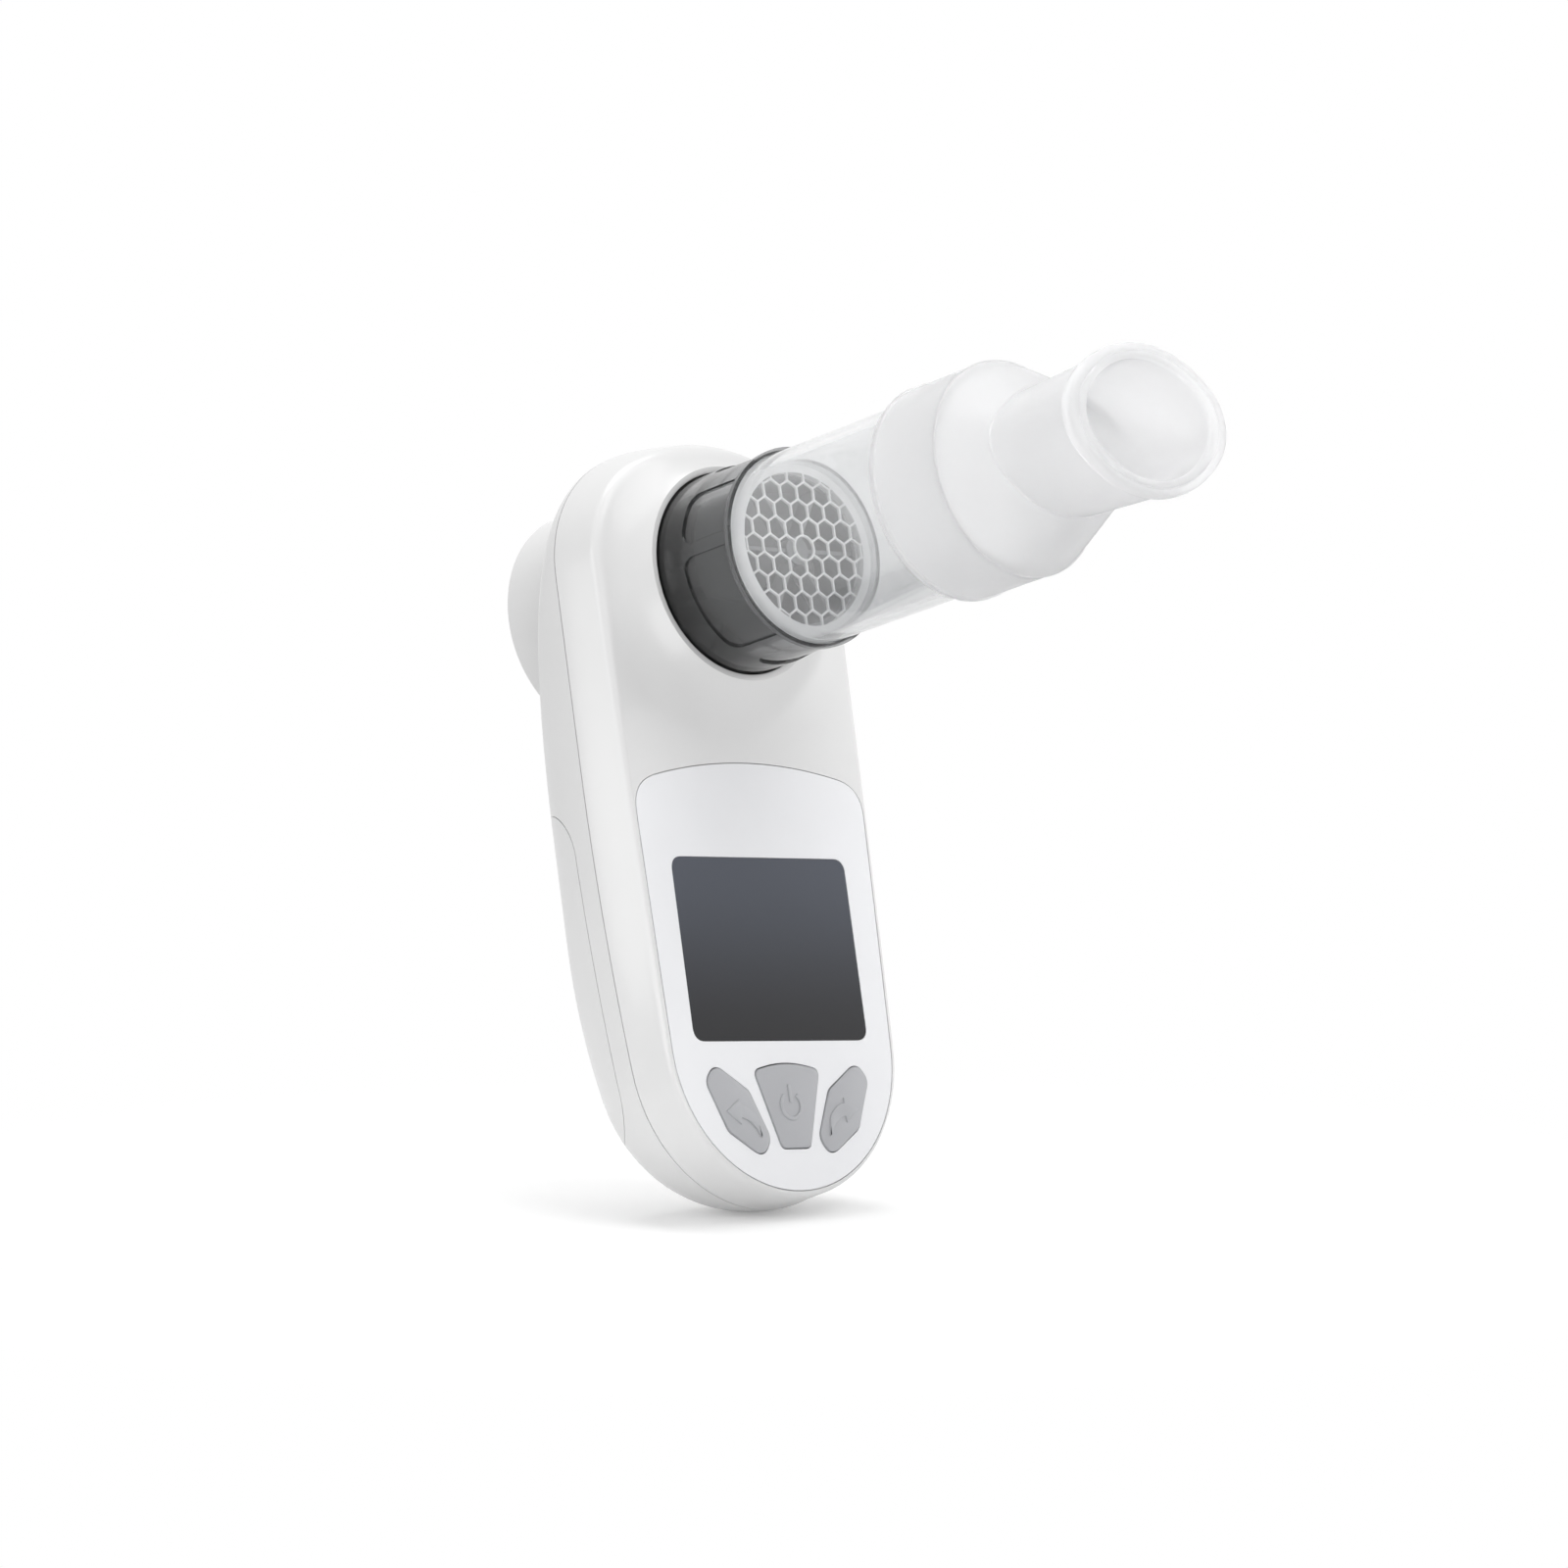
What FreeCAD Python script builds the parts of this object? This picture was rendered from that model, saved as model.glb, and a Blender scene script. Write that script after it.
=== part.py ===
import FreeCAD, Part
import math
import os

V = FreeCAD.Vector

# All lengths are in millimetres, all angles in degrees.
# The body stands along Z and its display faces -Y.
# The flow axis runs along Y, and sections are drawn with Y = 0 on the display face.
# Every piece is moved at the end, so that the origin is the centre of the exhaust rim.

# Body outline at the parting line
BODY_WIDTH = 52.6
BODY_HEIGHT = 120.0
AXIS_BELOW_TOP = 22.9
TOP_RADIUS = 34.0
TOP_CORNER_RADIUS = 20.0
BOTTOM_RADIUS = 23.9
SIDE_STRAIGHT = 29.4

# Body depth
PARTING_DEPTH = 8.2
BAND_WIDTH = 2.0
BAND_INSET = 0.25
BACK_DEPTH = 14.8
BACK_SIDE_ROUND = 8.0
BACK_TOP_SLOPE = 93.0
BACK_BOTTOM_SLOPE = 9.5
BACK_SECTION_ANGLES = (0, 12, 24, 36, 48, 60)
BACK_EDGE_RADIUS = 4.0
BACK_EDGE_STEPS = 2
WALL = 2.0

# Front face
FACE_INSET = 1.4
FACE_BOTTOM_INSET = 0.7
FACE_SIDE_LEAN = 0.85
FACE_EDGE_START = 0.9
FACE_EDGE_TURN = 0.35
FACE_EDGE_LEAD = 0.2

# Nozzle of the front shell and port of the rear shell
NOZZLE_RADIUS = 15.97
NOZZLE_WALL = 1.0
NOZZLE_HEIGHT = 3.8
NOZZLE_DEPTH = 2.4
FLARE_RADIUS = 14.0
FLARE_STEPS = 5
PORT_OUTER_RADIUS = 18.0
PORT_RADIUS = 15.3
PORT_LENGTH = 9.0
EXHAUST_Y = 30.0

# Display panel; a rise is a height above the foot of the body
PANEL_MARGIN = 0.9
PANEL_TOP_BELOW_AXIS = 29.2
PANEL_TOP_RADIUS = 82.0
PANEL_CORNER_RADIUS = 4.5
PANEL_THICKNESS = 0.6
PANEL_GAP = 0.12
SCREEN_WIDTH = 35.5
SCREEN_HEIGHT = 28.5
SCREEN_CENTRE_RISE = 38.9
SCREEN_CORNER_RADIUS = 1.8
WINDOW_LEDGE = 1.2
WINDOW_THICKNESS = 1.2
LCD_MARGIN_X = 2.6
LCD_MARGIN_Z = 2.2

# Buttons
BUTTON_GAP = 0.25
BUTTON_RISE = 0.55
BUTTON_TRAVEL = 0.4
BUTTON_CHAMFER = 0.25
BUTTON_FLANGE = 0.55
BUTTON_FLANGE_THICKNESS = 0.7
POWER_TOP_HALF_WIDTH = 6.1
POWER_BOTTOM_HALF_WIDTH = 3.4
POWER_TOP_RISE = 21.3
POWER_SHOULDER_DROP = 1.7
POWER_BOTTOM_RISE = 8.3
POWER_CORNER_RADIUS = 1.2
SIDE_BUTTON_POINTS = ((16.6, 18.3), (14.6, 21.3), (8.2, 16.9), (5.0, 9.9), (6.7, 6.5), (13.3, 10.9))
SIDE_BUTTON_RADII = (1.6, 1.6, 2.2, 1.6, 1.6, 2.2)
SIDE_SWITCH_X = 10.8
SWITCH_RISE = 13.9

# Electronics
BOARD_GAP = 0.4
BOARD_THICKNESS = 1.2
BOARD_EDGE_GAP = 1.6
BOARD_TOP_BELOW_AXIS = 21.5
SWITCH_SIZE = 4.5
SWITCH_HEIGHT = 1.7
PLUNGER_RADIUS = 0.9
PLUNGER_GAP = 0.15
CHIP_SIZE = 7.0
CHIP_THICKNESS = 0.9
CHIP_X = 6.0
BUZZER_RADIUS = 4.0
BUZZER_HEIGHT = 3.0
BUZZER_X = -8.0
UPPER_PARTS_DROP = 5.5

# Batteries
CELL_RADIUS = 5.25
CELL_LENGTH = 43.3
CELL_TIP_RADIUS = 1.9
CELL_TIP_LENGTH = 0.8
CELL_PITCH = 11.4
CELL_CLEARANCE = 0.3
CELL_TOP_RISE = 61.5
CONTACT_THICKNESS = 0.4
CONTACT_HALF_HEIGHT = 3.0
CONTACT_SPACE = 1.4
CONTACT_PAD = 3.4
BAY_WALL = 1.0

# Battery door, a wrap-round cover drawn on the side view
DOOR_ABOVE_CELLS = 2.0
DOOR_BELOW_CELLS = 5.3
DOOR_FRONT_Y = 12.3
DOOR_CORNER_RADIUS = 8.0
DOOR_GAP = 0.15
DOOR_SEAT_GAP = 0.3

# Screws
SCREW_RADIUS = 1.0
SCREW_HEAD_RADIUS = 1.9
SCREW_HEAD_HEIGHT = 1.2
SCREW_RECESS = 2.2
SCREW_CLEARANCE = 0.15
SCREW_BOSS_RADIUS = 2.3
SCREW_BITE = 4.0
UPPER_SCREW_FROM_SIDE = 9.1
UPPER_SCREW_Z = 12.4
LOWER_SCREW_FROM_SIDE = 7.2
LOWER_SCREW_RISE = 19.7
UPPER_SEAT_Y = 12.0

# Turbine cartridge
GRIP_RADIUS = 15.77
GRIP_FRONT_Y = -20.0
CARTRIDGE_RADIUS = 14.3
CARTRIDGE_LENGTH = 17.4
FLOW_RADIUS = 12.05
PAD_DEPTH = 0.35
PAD_CLOSED_END_Y = -9.3
RIM_BAND = 0.8
PAD_SECTORS = ((180.0, 61.0), (255.0, 45.0), (319.0, 33.0))
PAD_CORNER_RADIUS = 2.2
SOCKET_GAP = 0.15
SOCKET_WALL = 1.8
SEAL_WIDTH = 1.6
SEAL_DEPTH = 1.3
SEAL_GAP = 0.08
SEAL_FROM_SHOULDER = 3.0

# Straightener, guides and rotor
SCREEN_THICKNESS = 0.8
CELL_ACROSS_FLATS = 2.99
CELL_WEB = 0.34
HUB_EYE_RADIUS = 1.8
FRONT_GUIDE_LENGTH = 9.0
REAR_GUIDE_LENGTH = 7.0
GUIDE_RING = 0.6
GUIDE_HUB_RADIUS = 2.2
GUIDE_VANES = 6
GUIDE_VANE_THICKNESS = 0.6
GUIDE_VANE_SETBACK = 0.3
GUIDE_BEND_SHARE = 0.35
GUIDE_LEAN = 42.0
GUIDE_FIT = 0.05
ROTOR_TIP_GAP = 0.6
ROTOR_LENGTH = 18.5
ROTOR_END_GAP = 1.2
ROTOR_THICKNESS = 0.5
ROTOR_COLLAR_RADIUS = 1.1
SHAFT_RADIUS = 0.5
BEARING_RADIUS = 1.3
BEARING_LENGTH = 2.0
BEARING_GAP = 0.05
BEARING_RELIEF = 1.0
SHAFT_RELIEF = 0.2
SHAFT_INSERT = 1.5

# Optical sensor
SENSOR_WIDTH = 3.0
SENSOR_HEIGHT = 4.0
SENSOR_DEPTH = 2.4
SENSOR_LENS_RADIUS = 0.9
SENSOR_GAP = 0.3
SENSOR_BOARD_THICKNESS = 1.0
SENSOR_BOARD_RIM = 3.6

# Clear tube
TUBE_RADIUS = 15.04
TUBE_WALL = 1.5
TUBE_FRONT_Y = -65.0
TUBE_FIT = 0.06

# Mouthpiece
COLLAR_REAR_Y = -52.8
COLLAR_RADIUS = 16.65
COLLAR_BEAD = 0.8
COLLAR_BEAD_STEP = 0.25
COLLAR_FIT = 0.12
NECK_SECTIONS = ((-66.6, 16.3, 16.2), (-70.5, 16.2, 15.35), (-74.3, 16.1, 13.6), (-78.2, 16.0, 10.9),
                 (-92.6, 14.7, 10.65))
FUNNEL_OVERLAP = 6.0
OVAL_END_BLEND = 0.55
LIP_HALF_WIDTH = 16.35
LIP_HALF_HEIGHT = 11.6
LIP_THICKNESS = 2.2
LIP_CHAMFER = 0.6
MOUTHPIECE_WALL = 1.7

# Places worked out from the sizes above
HALF_WIDTH = BODY_WIDTH / 2
TOP_Z = AXIS_BELOW_TOP
BOTTOM_Z = AXIS_BELOW_TOP - BODY_HEIGHT
PARTING_CORNER_REACH = math.sqrt((TOP_RADIUS - TOP_CORNER_RADIUS) ** 2 - (HALF_WIDTH - TOP_CORNER_RADIUS) ** 2)
PARTING_SIDE_RUN = TOP_Z - TOP_RADIUS + PARTING_CORNER_REACH - BOTTOM_Z - BOTTOM_RADIUS
BAND_Y = PARTING_DEPTH - BAND_WIDTH
PANEL_TOP_Z = -PANEL_TOP_BELOW_AXIS
SCREEN_CENTRE_Z = BOTTOM_Z + SCREEN_CENTRE_RISE
POWER_TOP_Z = BOTTOM_Z + POWER_TOP_RISE
POWER_BOTTOM_Z = BOTTOM_Z + POWER_BOTTOM_RISE
SWITCH_Z = BOTTOM_Z + SWITCH_RISE
BOARD_TOP_Z = -BOARD_TOP_BELOW_AXIS
UPPER_PARTS_Z = BOARD_TOP_Z - UPPER_PARTS_DROP
CELL_TOP_Z = BOTTOM_Z + CELL_TOP_RISE
CELL_BOTTOM_Z = CELL_TOP_Z - CELL_LENGTH - CELL_TIP_LENGTH
DOOR_TOP_Z = CELL_TOP_Z + DOOR_ABOVE_CELLS
DOOR_BOTTOM_Z = CELL_BOTTOM_Z - DOOR_BELOW_CELLS
UPPER_SCREW = (HALF_WIDTH - UPPER_SCREW_FROM_SIDE, UPPER_SCREW_Z)
LOWER_SCREW = (HALF_WIDTH - LOWER_SCREW_FROM_SIDE, BOTTOM_Z + LOWER_SCREW_RISE)
LCD_FRONT_Y = WALL
BOARD_FRONT_Y = WALL + BUTTON_FLANGE_THICKNESS + BUTTON_TRAVEL + SWITCH_HEIGHT + BOARD_GAP
BOARD_BACK_Y = BOARD_FRONT_Y + BOARD_THICKNESS
BAY_FLOOR_Y = BOARD_BACK_Y + BOARD_GAP
CELL_Y = BAY_FLOOR_Y + BAY_WALL + CELL_CLEARANCE + CELL_RADIUS
SHOULDER_SEAT_Y = NOZZLE_DEPTH
CARTRIDGE_END_Y = SHOULDER_SEAT_Y + CARTRIDGE_LENGTH
TUBE_SEAT_Y = GRIP_FRONT_Y + 0.5 + SCREEN_THICKNESS
TUBE_BORE = TUBE_RADIUS - TUBE_WALL
FRONT_GUIDE_Y = TUBE_SEAT_Y + 0.4
ROTOR_FRONT_Y = FRONT_GUIDE_Y + FRONT_GUIDE_LENGTH + ROTOR_END_GAP
ROTOR_BACK_Y = ROTOR_FRONT_Y + ROTOR_LENGTH
REAR_GUIDE_Y = ROTOR_BACK_Y + ROTOR_END_GAP
SENSOR_Y = PARTING_DEPTH + 0.8
BOSS_FRONT_Y = SENSOR_Y + SENSOR_WIDTH / 2 + SENSOR_BOARD_THICKNESS + SENSOR_GAP


def polar(radius, angle):
    turn = math.radians(angle)
    return radius * math.cos(turn), radius * math.sin(turn)


def cylinder(radius, y_start, y_end, x=0.0, z=0.0):
    return Part.makeCylinder(radius, y_end - y_start, V(x, y_start, z), V(0, 1, 0))


def tube(outer, inner, y_start, y_end, x=0.0, z=0.0):
    return cylinder(outer, y_start, y_end, x, z).cut(cylinder(inner, y_start, y_end, x, z))


def block(x_low, x_high, y_low, y_high, z_low, z_high):
    return Part.makeBox(x_high - x_low, y_high - y_low, z_high - z_low, V(x_low, y_low, z_low))


def mirrored(shape):
    return shape.mirror(V(0, 0, 0), V(1, 0, 0))


def spun(points):
    """Solid of revolution about the flow axis from (y, radius) points."""
    wire = Part.makePolygon([V(radius, y, 0) for y, radius in points + [points[0]]])
    return Part.Face(wire).revolve(V(0, 0, 0), V(0, 1, 0), 360)


def arc(start, middle, end):
    return Part.Arc(start, middle, end).toShape()


def rounded_wire(points, radii, y):
    """Closed outline in the XZ plane with a rounded corner at each point."""
    count = len(points)
    joints = []
    for index in range(count):
        corner = V(points[index][0], y, points[index][1])
        before = V(points[index - 1][0], y, points[index - 1][1]) - corner
        after = V(points[(index + 1) % count][0], y, points[(index + 1) % count][1]) - corner
        before.normalize()
        after.normalize()
        half = before.getAngle(after) / 2
        bisector = before + after
        bisector.normalize()
        setback = radii[index] / math.tan(half)
        centre = corner + bisector * (radii[index] / math.sin(half))
        joints.append((corner + before * setback, centre - bisector * radii[index], corner + after * setback))
    edges = []
    for index in range(count):
        start, middle, end = joints[index]
        edges.append(arc(start, middle, end))
        edges.append(Part.makeLine(end, joints[(index + 1) % count][0]))
    return Part.Wire(edges)


def pad_of(wire, depth):
    """Prism of an XZ outline, drawn towards the back."""
    return Part.Face(wire).extrude(V(0, depth, 0))


def case_outline(y, side, top, bottom, lean=0.0, foot=0.0):
    """Body outline at depth y, drawn in from the parting outline by side, top and bottom.

    lean tapers the sides towards the foot, as a share of the taper that would make them straight.
    foot gives back some of that at the bottom radius.
    """
    half = HALF_WIDTH - side
    crown = TOP_RADIUS - side
    corner = TOP_CORNER_RADIUS - side
    base = BOTTOM_RADIUS - side + foot
    crown_z = TOP_Z - top - crown
    corner_x = half - corner
    corner_z = crown_z + math.sqrt((crown - corner) ** 2 - corner_x ** 2)
    base_z = BOTTOM_Z + bottom + base
    run = corner_z - base_z
    straight = SIDE_STRAIGHT * run / PARTING_SIDE_RUN
    tilt = lean * (math.acos((base - corner) / math.hypot(corner_x, run)) - math.atan2(run, corner_x))
    inward = V(-math.cos(tilt), 0, math.sin(tilt))
    along = V(-math.sin(tilt), 0, -math.cos(tilt))

    crown_centre = V(0, y, crown_z)
    corner_centre = V(corner_x, y, corner_z)
    base_centre = V(0, y, base_z)
    radial = corner_centre - crown_centre
    radial.normalize()
    crown_end = crown_centre + radial * crown
    corner_end = corner_centre - inward * corner
    middle = radial - inward
    middle.normalize()
    side_start = corner_end + along * straight
    reach = side_start - base_centre
    bow = (base ** 2 - reach.dot(reach)) / (2 * (inward.dot(reach) + base))
    bow_centre = side_start + inward * bow
    radial = base_centre - bow_centre
    radial.normalize()
    side_end = bow_centre + radial * bow
    bow_middle = radial - inward
    bow_middle.normalize()

    def left(point):
        return V(-point.x, point.y, point.z)

    corner_middle = corner_centre + middle * corner
    side_middle = bow_centre + bow_middle * bow
    edges = [
        arc(left(crown_end), V(0, y, TOP_Z - top), crown_end),
        arc(crown_end, corner_middle, corner_end),
        Part.makeLine(corner_end, side_start),
        arc(side_start, side_middle, side_end),
        arc(side_end, V(0, y, BOTTOM_Z + bottom), left(side_end)),
        arc(left(side_end), left(side_middle), left(side_start)),
        Part.makeLine(left(side_start), left(corner_end)),
        arc(left(corner_end), left(corner_middle), left(crown_end)),
    ]
    return Part.Wire(edges)


def face_outline(y, inset):
    """Outline of the front half at depth y, tapering from the band to the face and beyond it."""
    share = (BAND_Y - y) / BAND_Y
    side = BAND_INSET + (FACE_INSET - BAND_INSET) * share
    foot = BAND_INSET + (FACE_BOTTOM_INSET - BAND_INSET) * share
    return case_outline(y, side + inset, side + inset, foot + inset, lean=FACE_SIDE_LEAN, foot=side - foot)


def front_hull(inset):
    """Front half of the body up to the tip of the nozzle, offset inwards."""
    wires = [case_outline(PARTING_DEPTH, inset, inset, inset),
             case_outline(BAND_Y, BAND_INSET + inset, BAND_INSET + inset, BAND_INSET + inset),
             face_outline(FACE_EDGE_START, inset),
             face_outline(FACE_EDGE_TURN, inset + FACE_EDGE_LEAD),
             face_outline(-NOZZLE_HEIGHT - 1, inset + FACE_EDGE_LEAD + FACE_EDGE_TURN + NOZZLE_HEIGHT + 1)]
    return Part.makeLoft(wires, True, True)


def back_hull(inset):
    """Rear half of the body, rounded like a hull and sloping forward at the top."""
    wires = []
    depth = BACK_DEPTH - inset
    for angle in BACK_SECTION_ANGLES:
        turn = math.radians(angle)
        draw_in = 1 - math.cos(turn)
        wires.append(back_outline(PARTING_DEPTH + depth * math.sin(turn), inset, draw_in, 0.0))
    last = math.radians(BACK_SECTION_ANGLES[-1])
    start = math.atan2(BACK_SIDE_ROUND * math.sin(last), depth * math.cos(last))
    for step in range(1, BACK_EDGE_STEPS + 1):
        turn = start + (math.pi / 2 - start) * step / BACK_EDGE_STEPS
        y = PARTING_DEPTH + depth * math.sin(last) + BACK_EDGE_RADIUS * (math.sin(turn) - math.sin(start))
        wires.append(back_outline(y, inset, draw_in, BACK_EDGE_RADIUS * (math.cos(start) - math.cos(turn))))
    return Part.makeLoft(wires, True, True)


def back_outline(y, inset, draw_in, edge):
    side = inset + (BACK_SIDE_ROUND - inset) * draw_in + edge
    return case_outline(y, side, inset + BACK_TOP_SLOPE * draw_in + edge,
                        inset + BACK_BOTTOM_SLOPE * draw_in + edge)


def flare():
    """Concave cone, in straight steps, that carries the face up to the nozzle rim."""
    rim = NOZZLE_RADIUS + NOZZLE_WALL
    slope = math.acos(1 - NOZZLE_HEIGHT / FLARE_RADIUS)
    foot = rim + FLARE_RADIUS * math.sin(slope)
    profile = [(WALL, 0.0), (-NOZZLE_HEIGHT, 0.0)]
    for step in range(FLARE_STEPS + 1):
        turn = slope * (1 - step / FLARE_STEPS)
        profile.append((FLARE_RADIUS * (math.cos(turn) - 1), foot - FLARE_RADIUS * math.sin(turn)))
    profile.append((WALL, foot))
    return spun(profile)


def panel_face(inset):
    """Display panel outline: the face outline below, closed by a shallow arc above."""
    y = 0.0
    face = Part.Face(face_outline(y, PANEL_MARGIN + inset))
    top_z = PANEL_TOP_Z - inset
    span = 2 * HALF_WIDTH
    sagitta = PANEL_TOP_RADIUS - math.sqrt(PANEL_TOP_RADIUS ** 2 - HALF_WIDTH ** 2)
    lid = Part.Wire([arc(V(-HALF_WIDTH, y, top_z - sagitta), V(0, y, top_z), V(HALF_WIDTH, y, top_z - sagitta)),
                     Part.makeLine(V(HALF_WIDTH, y, top_z - sagitta), V(HALF_WIDTH, y, top_z + span)),
                     Part.makeLine(V(HALF_WIDTH, y, top_z + span), V(-HALF_WIDTH, y, top_z + span)),
                     Part.makeLine(V(-HALF_WIDTH, y, top_z + span), V(-HALF_WIDTH, y, top_z - sagitta))])
    return face.cut(Part.Face(lid)).Faces[0]


def panel_plate(y, depth, inset):
    """Plate of the display panel's outline with its two upper corners rounded."""
    plate = panel_face(inset).extrude(V(0, depth, 0))
    plate.translate(V(0, y, 0))
    corners = [edge for edge in plate.Edges if edge.BoundBox.XLength < 0.01 and edge.BoundBox.ZLength < 0.01]
    corners = sorted(corners, key=lambda edge: -edge.CenterOfMass.z)[:2]
    return plate.makeFillet(PANEL_CORNER_RADIUS - inset, corners)


def screen_block(grow, y, depth, corner=SCREEN_CORNER_RADIUS):
    half_x = SCREEN_WIDTH / 2 + grow
    low = SCREEN_CENTRE_Z - SCREEN_HEIGHT / 2 - grow
    high = SCREEN_CENTRE_Z + SCREEN_HEIGHT / 2 + grow
    points = ((-half_x, low), (half_x, low), (half_x, high), (-half_x, high))
    return pad_of(rounded_wire(points, (corner,) * 4, y), depth)


def power_wire(y, grow):
    """Fan-shaped outline of the middle button with a convex top."""
    top = POWER_TOP_HALF_WIDTH + grow
    bottom = POWER_BOTTOM_HALF_WIDTH + grow
    shoulder = POWER_TOP_Z - POWER_SHOULDER_DROP + grow
    floor = POWER_BOTTOM_Z - grow
    apex = POWER_TOP_Z + grow
    return Part.Wire([arc(V(-top, y, shoulder), V(0, y, apex), V(top, y, shoulder)),
                      Part.makeLine(V(top, y, shoulder), V(bottom, y, floor)),
                      Part.makeLine(V(bottom, y, floor), V(-bottom, y, floor)),
                      Part.makeLine(V(-bottom, y, floor), V(-top, y, shoulder))])


def power_block(y, depth, grow):
    prism = pad_of(power_wire(y, grow), depth)
    corners = [edge for edge in prism.Edges if edge.BoundBox.XLength < 0.01 and edge.BoundBox.ZLength < 0.01]
    return prism.makeFillet(POWER_CORNER_RADIUS + grow, corners)


def grown_points(points, grow):
    """Polygon offset outwards by grow, for points in clockwise order seen from the front."""
    count = len(points)
    moved = []
    for index in range(count):
        here = V(points[index][0], 0, points[index][1])
        back = here - V(points[index - 1][0], 0, points[index - 1][1])
        ahead = V(points[(index + 1) % count][0], 0, points[(index + 1) % count][1]) - here
        back.normalize()
        ahead.normalize()
        normals = [V(back.z, 0, -back.x), V(ahead.z, 0, -ahead.x)]
        sum_normal = normals[0] + normals[1]
        sum_normal.normalize()
        reach = grow / sum_normal.dot(normals[0])
        moved.append((here.x + sum_normal.x * reach, here.z + sum_normal.z * reach))
    return moved


def side_block(y, depth, grow):
    """Long six-sided button on the +X side."""
    points = grown_points([(x, BOTTOM_Z + rise) for x, rise in SIDE_BUTTON_POINTS], grow)
    radii = [radius + grow for radius in SIDE_BUTTON_RADII]
    return pad_of(rounded_wire(points, radii, y), depth)


def button(block_at, plunger_x, plunger_z):
    """Cap with a retaining flange behind the face and a plunger into its switch."""
    cap = block_at(-BUTTON_RISE, BUTTON_RISE + WALL + BUTTON_GAP, 0.0)
    front_edges = [edge for edge in cap.Edges
                   if abs(edge.BoundBox.YMin + BUTTON_RISE) < 0.01 and edge.BoundBox.YLength < 0.01]
    cap = cap.makeChamfer(BUTTON_CHAMFER, front_edges)
    flange = block_at(WALL + BUTTON_GAP, BUTTON_FLANGE_THICKNESS, BUTTON_FLANGE)
    plunger = cylinder(PLUNGER_RADIUS, WALL + BUTTON_GAP, BOARD_FRONT_Y - SWITCH_HEIGHT / 2, plunger_x, plunger_z)
    return cap.fuse([flange, plunger]).removeSplitter()


def make_buttons():
    forward = button(side_block, SIDE_SWITCH_X, SWITCH_Z)
    power = button(power_block, 0.0, SWITCH_Z)
    return {"forward_button": forward, "back_button": mirrored(forward), "power_button": power}


def make_switches():
    """Tactile switches on the board, each bored for its button's plunger."""
    half = SWITCH_SIZE / 2
    solids = []
    for x in (-SIDE_SWITCH_X, 0.0, SIDE_SWITCH_X):
        body = block(x - half, x + half, BOARD_FRONT_Y - SWITCH_HEIGHT, BOARD_FRONT_Y,
                     SWITCH_Z - half, SWITCH_Z + half)
        bore = cylinder(PLUNGER_RADIUS + PLUNGER_GAP, BOARD_FRONT_Y - SWITCH_HEIGHT, BOARD_FRONT_Y - 0.2,
                        x, SWITCH_Z)
        solids.append(body.cut(bore))
    return Part.makeCompound(solids)


def screw_places():
    places = []
    for x, z in (UPPER_SCREW, LOWER_SCREW):
        places += [(x, z), (-x, z)]
    return places


def screw_seat(z):
    return UPPER_SEAT_Y if z > 0 else DOOR_FRONT_Y - DOOR_SEAT_GAP - SCREW_HEAD_HEIGHT - 0.3


def make_front_shell():
    hull = front_hull(0.0)
    behind = block(-HALF_WIDTH, HALF_WIDTH, 0, PARTING_DEPTH, BOTTOM_Z, TOP_Z)
    shell = hull.common(behind).fuse(hull.common(flare())).removeSplitter()
    inside = front_hull(WALL).common(block(-HALF_WIDTH, HALF_WIDTH, WALL, PARTING_DEPTH, BOTTOM_Z, TOP_Z))
    collar = cylinder(NOZZLE_RADIUS + 2 * NOZZLE_WALL, 0, NOZZLE_DEPTH)
    shell = shell.cut(inside.cut(collar))
    shell = shell.cut(cylinder(NOZZLE_RADIUS, -NOZZLE_HEIGHT - 1, NOZZLE_DEPTH + 1))
    shell = shell.cut(panel_plate(-1, 1 + PANEL_THICKNESS, -PANEL_GAP))
    shell = shell.cut(screen_block(WINDOW_LEDGE / 2, 0, WALL))
    openings = [side_block(0, WALL, BUTTON_GAP), mirrored(side_block(0, WALL, BUTTON_GAP)),
                power_block(0, WALL, BUTTON_GAP)]
    shell = shell.cut(Part.makeCompound(openings))
    for x, z in screw_places():
        reach = screw_seat(z) - BAY_WALL
        post = cylinder(SCREW_BOSS_RADIUS, WALL / 2, reach, x, z).common(front_post_room())
        shell = shell.fuse(post).cut(cylinder(SCREW_RADIUS, WALL, PARTING_DEPTH + 9, x, z))
    return shell.removeSplitter()


def front_post_room():
    """Space inside both halves where a screw post can stand."""
    inner = front_hull(WALL / 2).common(block(-HALF_WIDTH, HALF_WIDTH, 0, PARTING_DEPTH, BOTTOM_Z, TOP_Z))
    return inner.fuse(back_hull(WALL))


def door_prism(grow):
    """Side-view outline of the battery door, drawn right across the body."""
    low = DOOR_BOTTOM_Z - grow
    high = DOOR_TOP_Z + grow
    front = DOOR_FRONT_Y - grow
    back = PARTING_DEPTH + BACK_DEPTH + 5
    radius = DOOR_CORNER_RADIUS + grow
    notch = radius * (1 - math.sqrt(0.5))
    x = -HALF_WIDTH - 1
    wire = Part.Wire([
        Part.makeLine(V(x, back, low), V(x, front + radius, low)),
        arc(V(x, front + radius, low), V(x, front + notch, low + notch), V(x, front, low + radius)),
        Part.makeLine(V(x, front, low + radius), V(x, front, high - radius)),
        arc(V(x, front, high - radius), V(x, front + notch, high - notch), V(x, front + radius, high)),
        Part.makeLine(V(x, front + radius, high), V(x, back, high)),
        Part.makeLine(V(x, back, high), V(x, back, low))])
    return Part.Face(wire).extrude(V(2 * HALF_WIDTH + 2, 0, 0))


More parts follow.
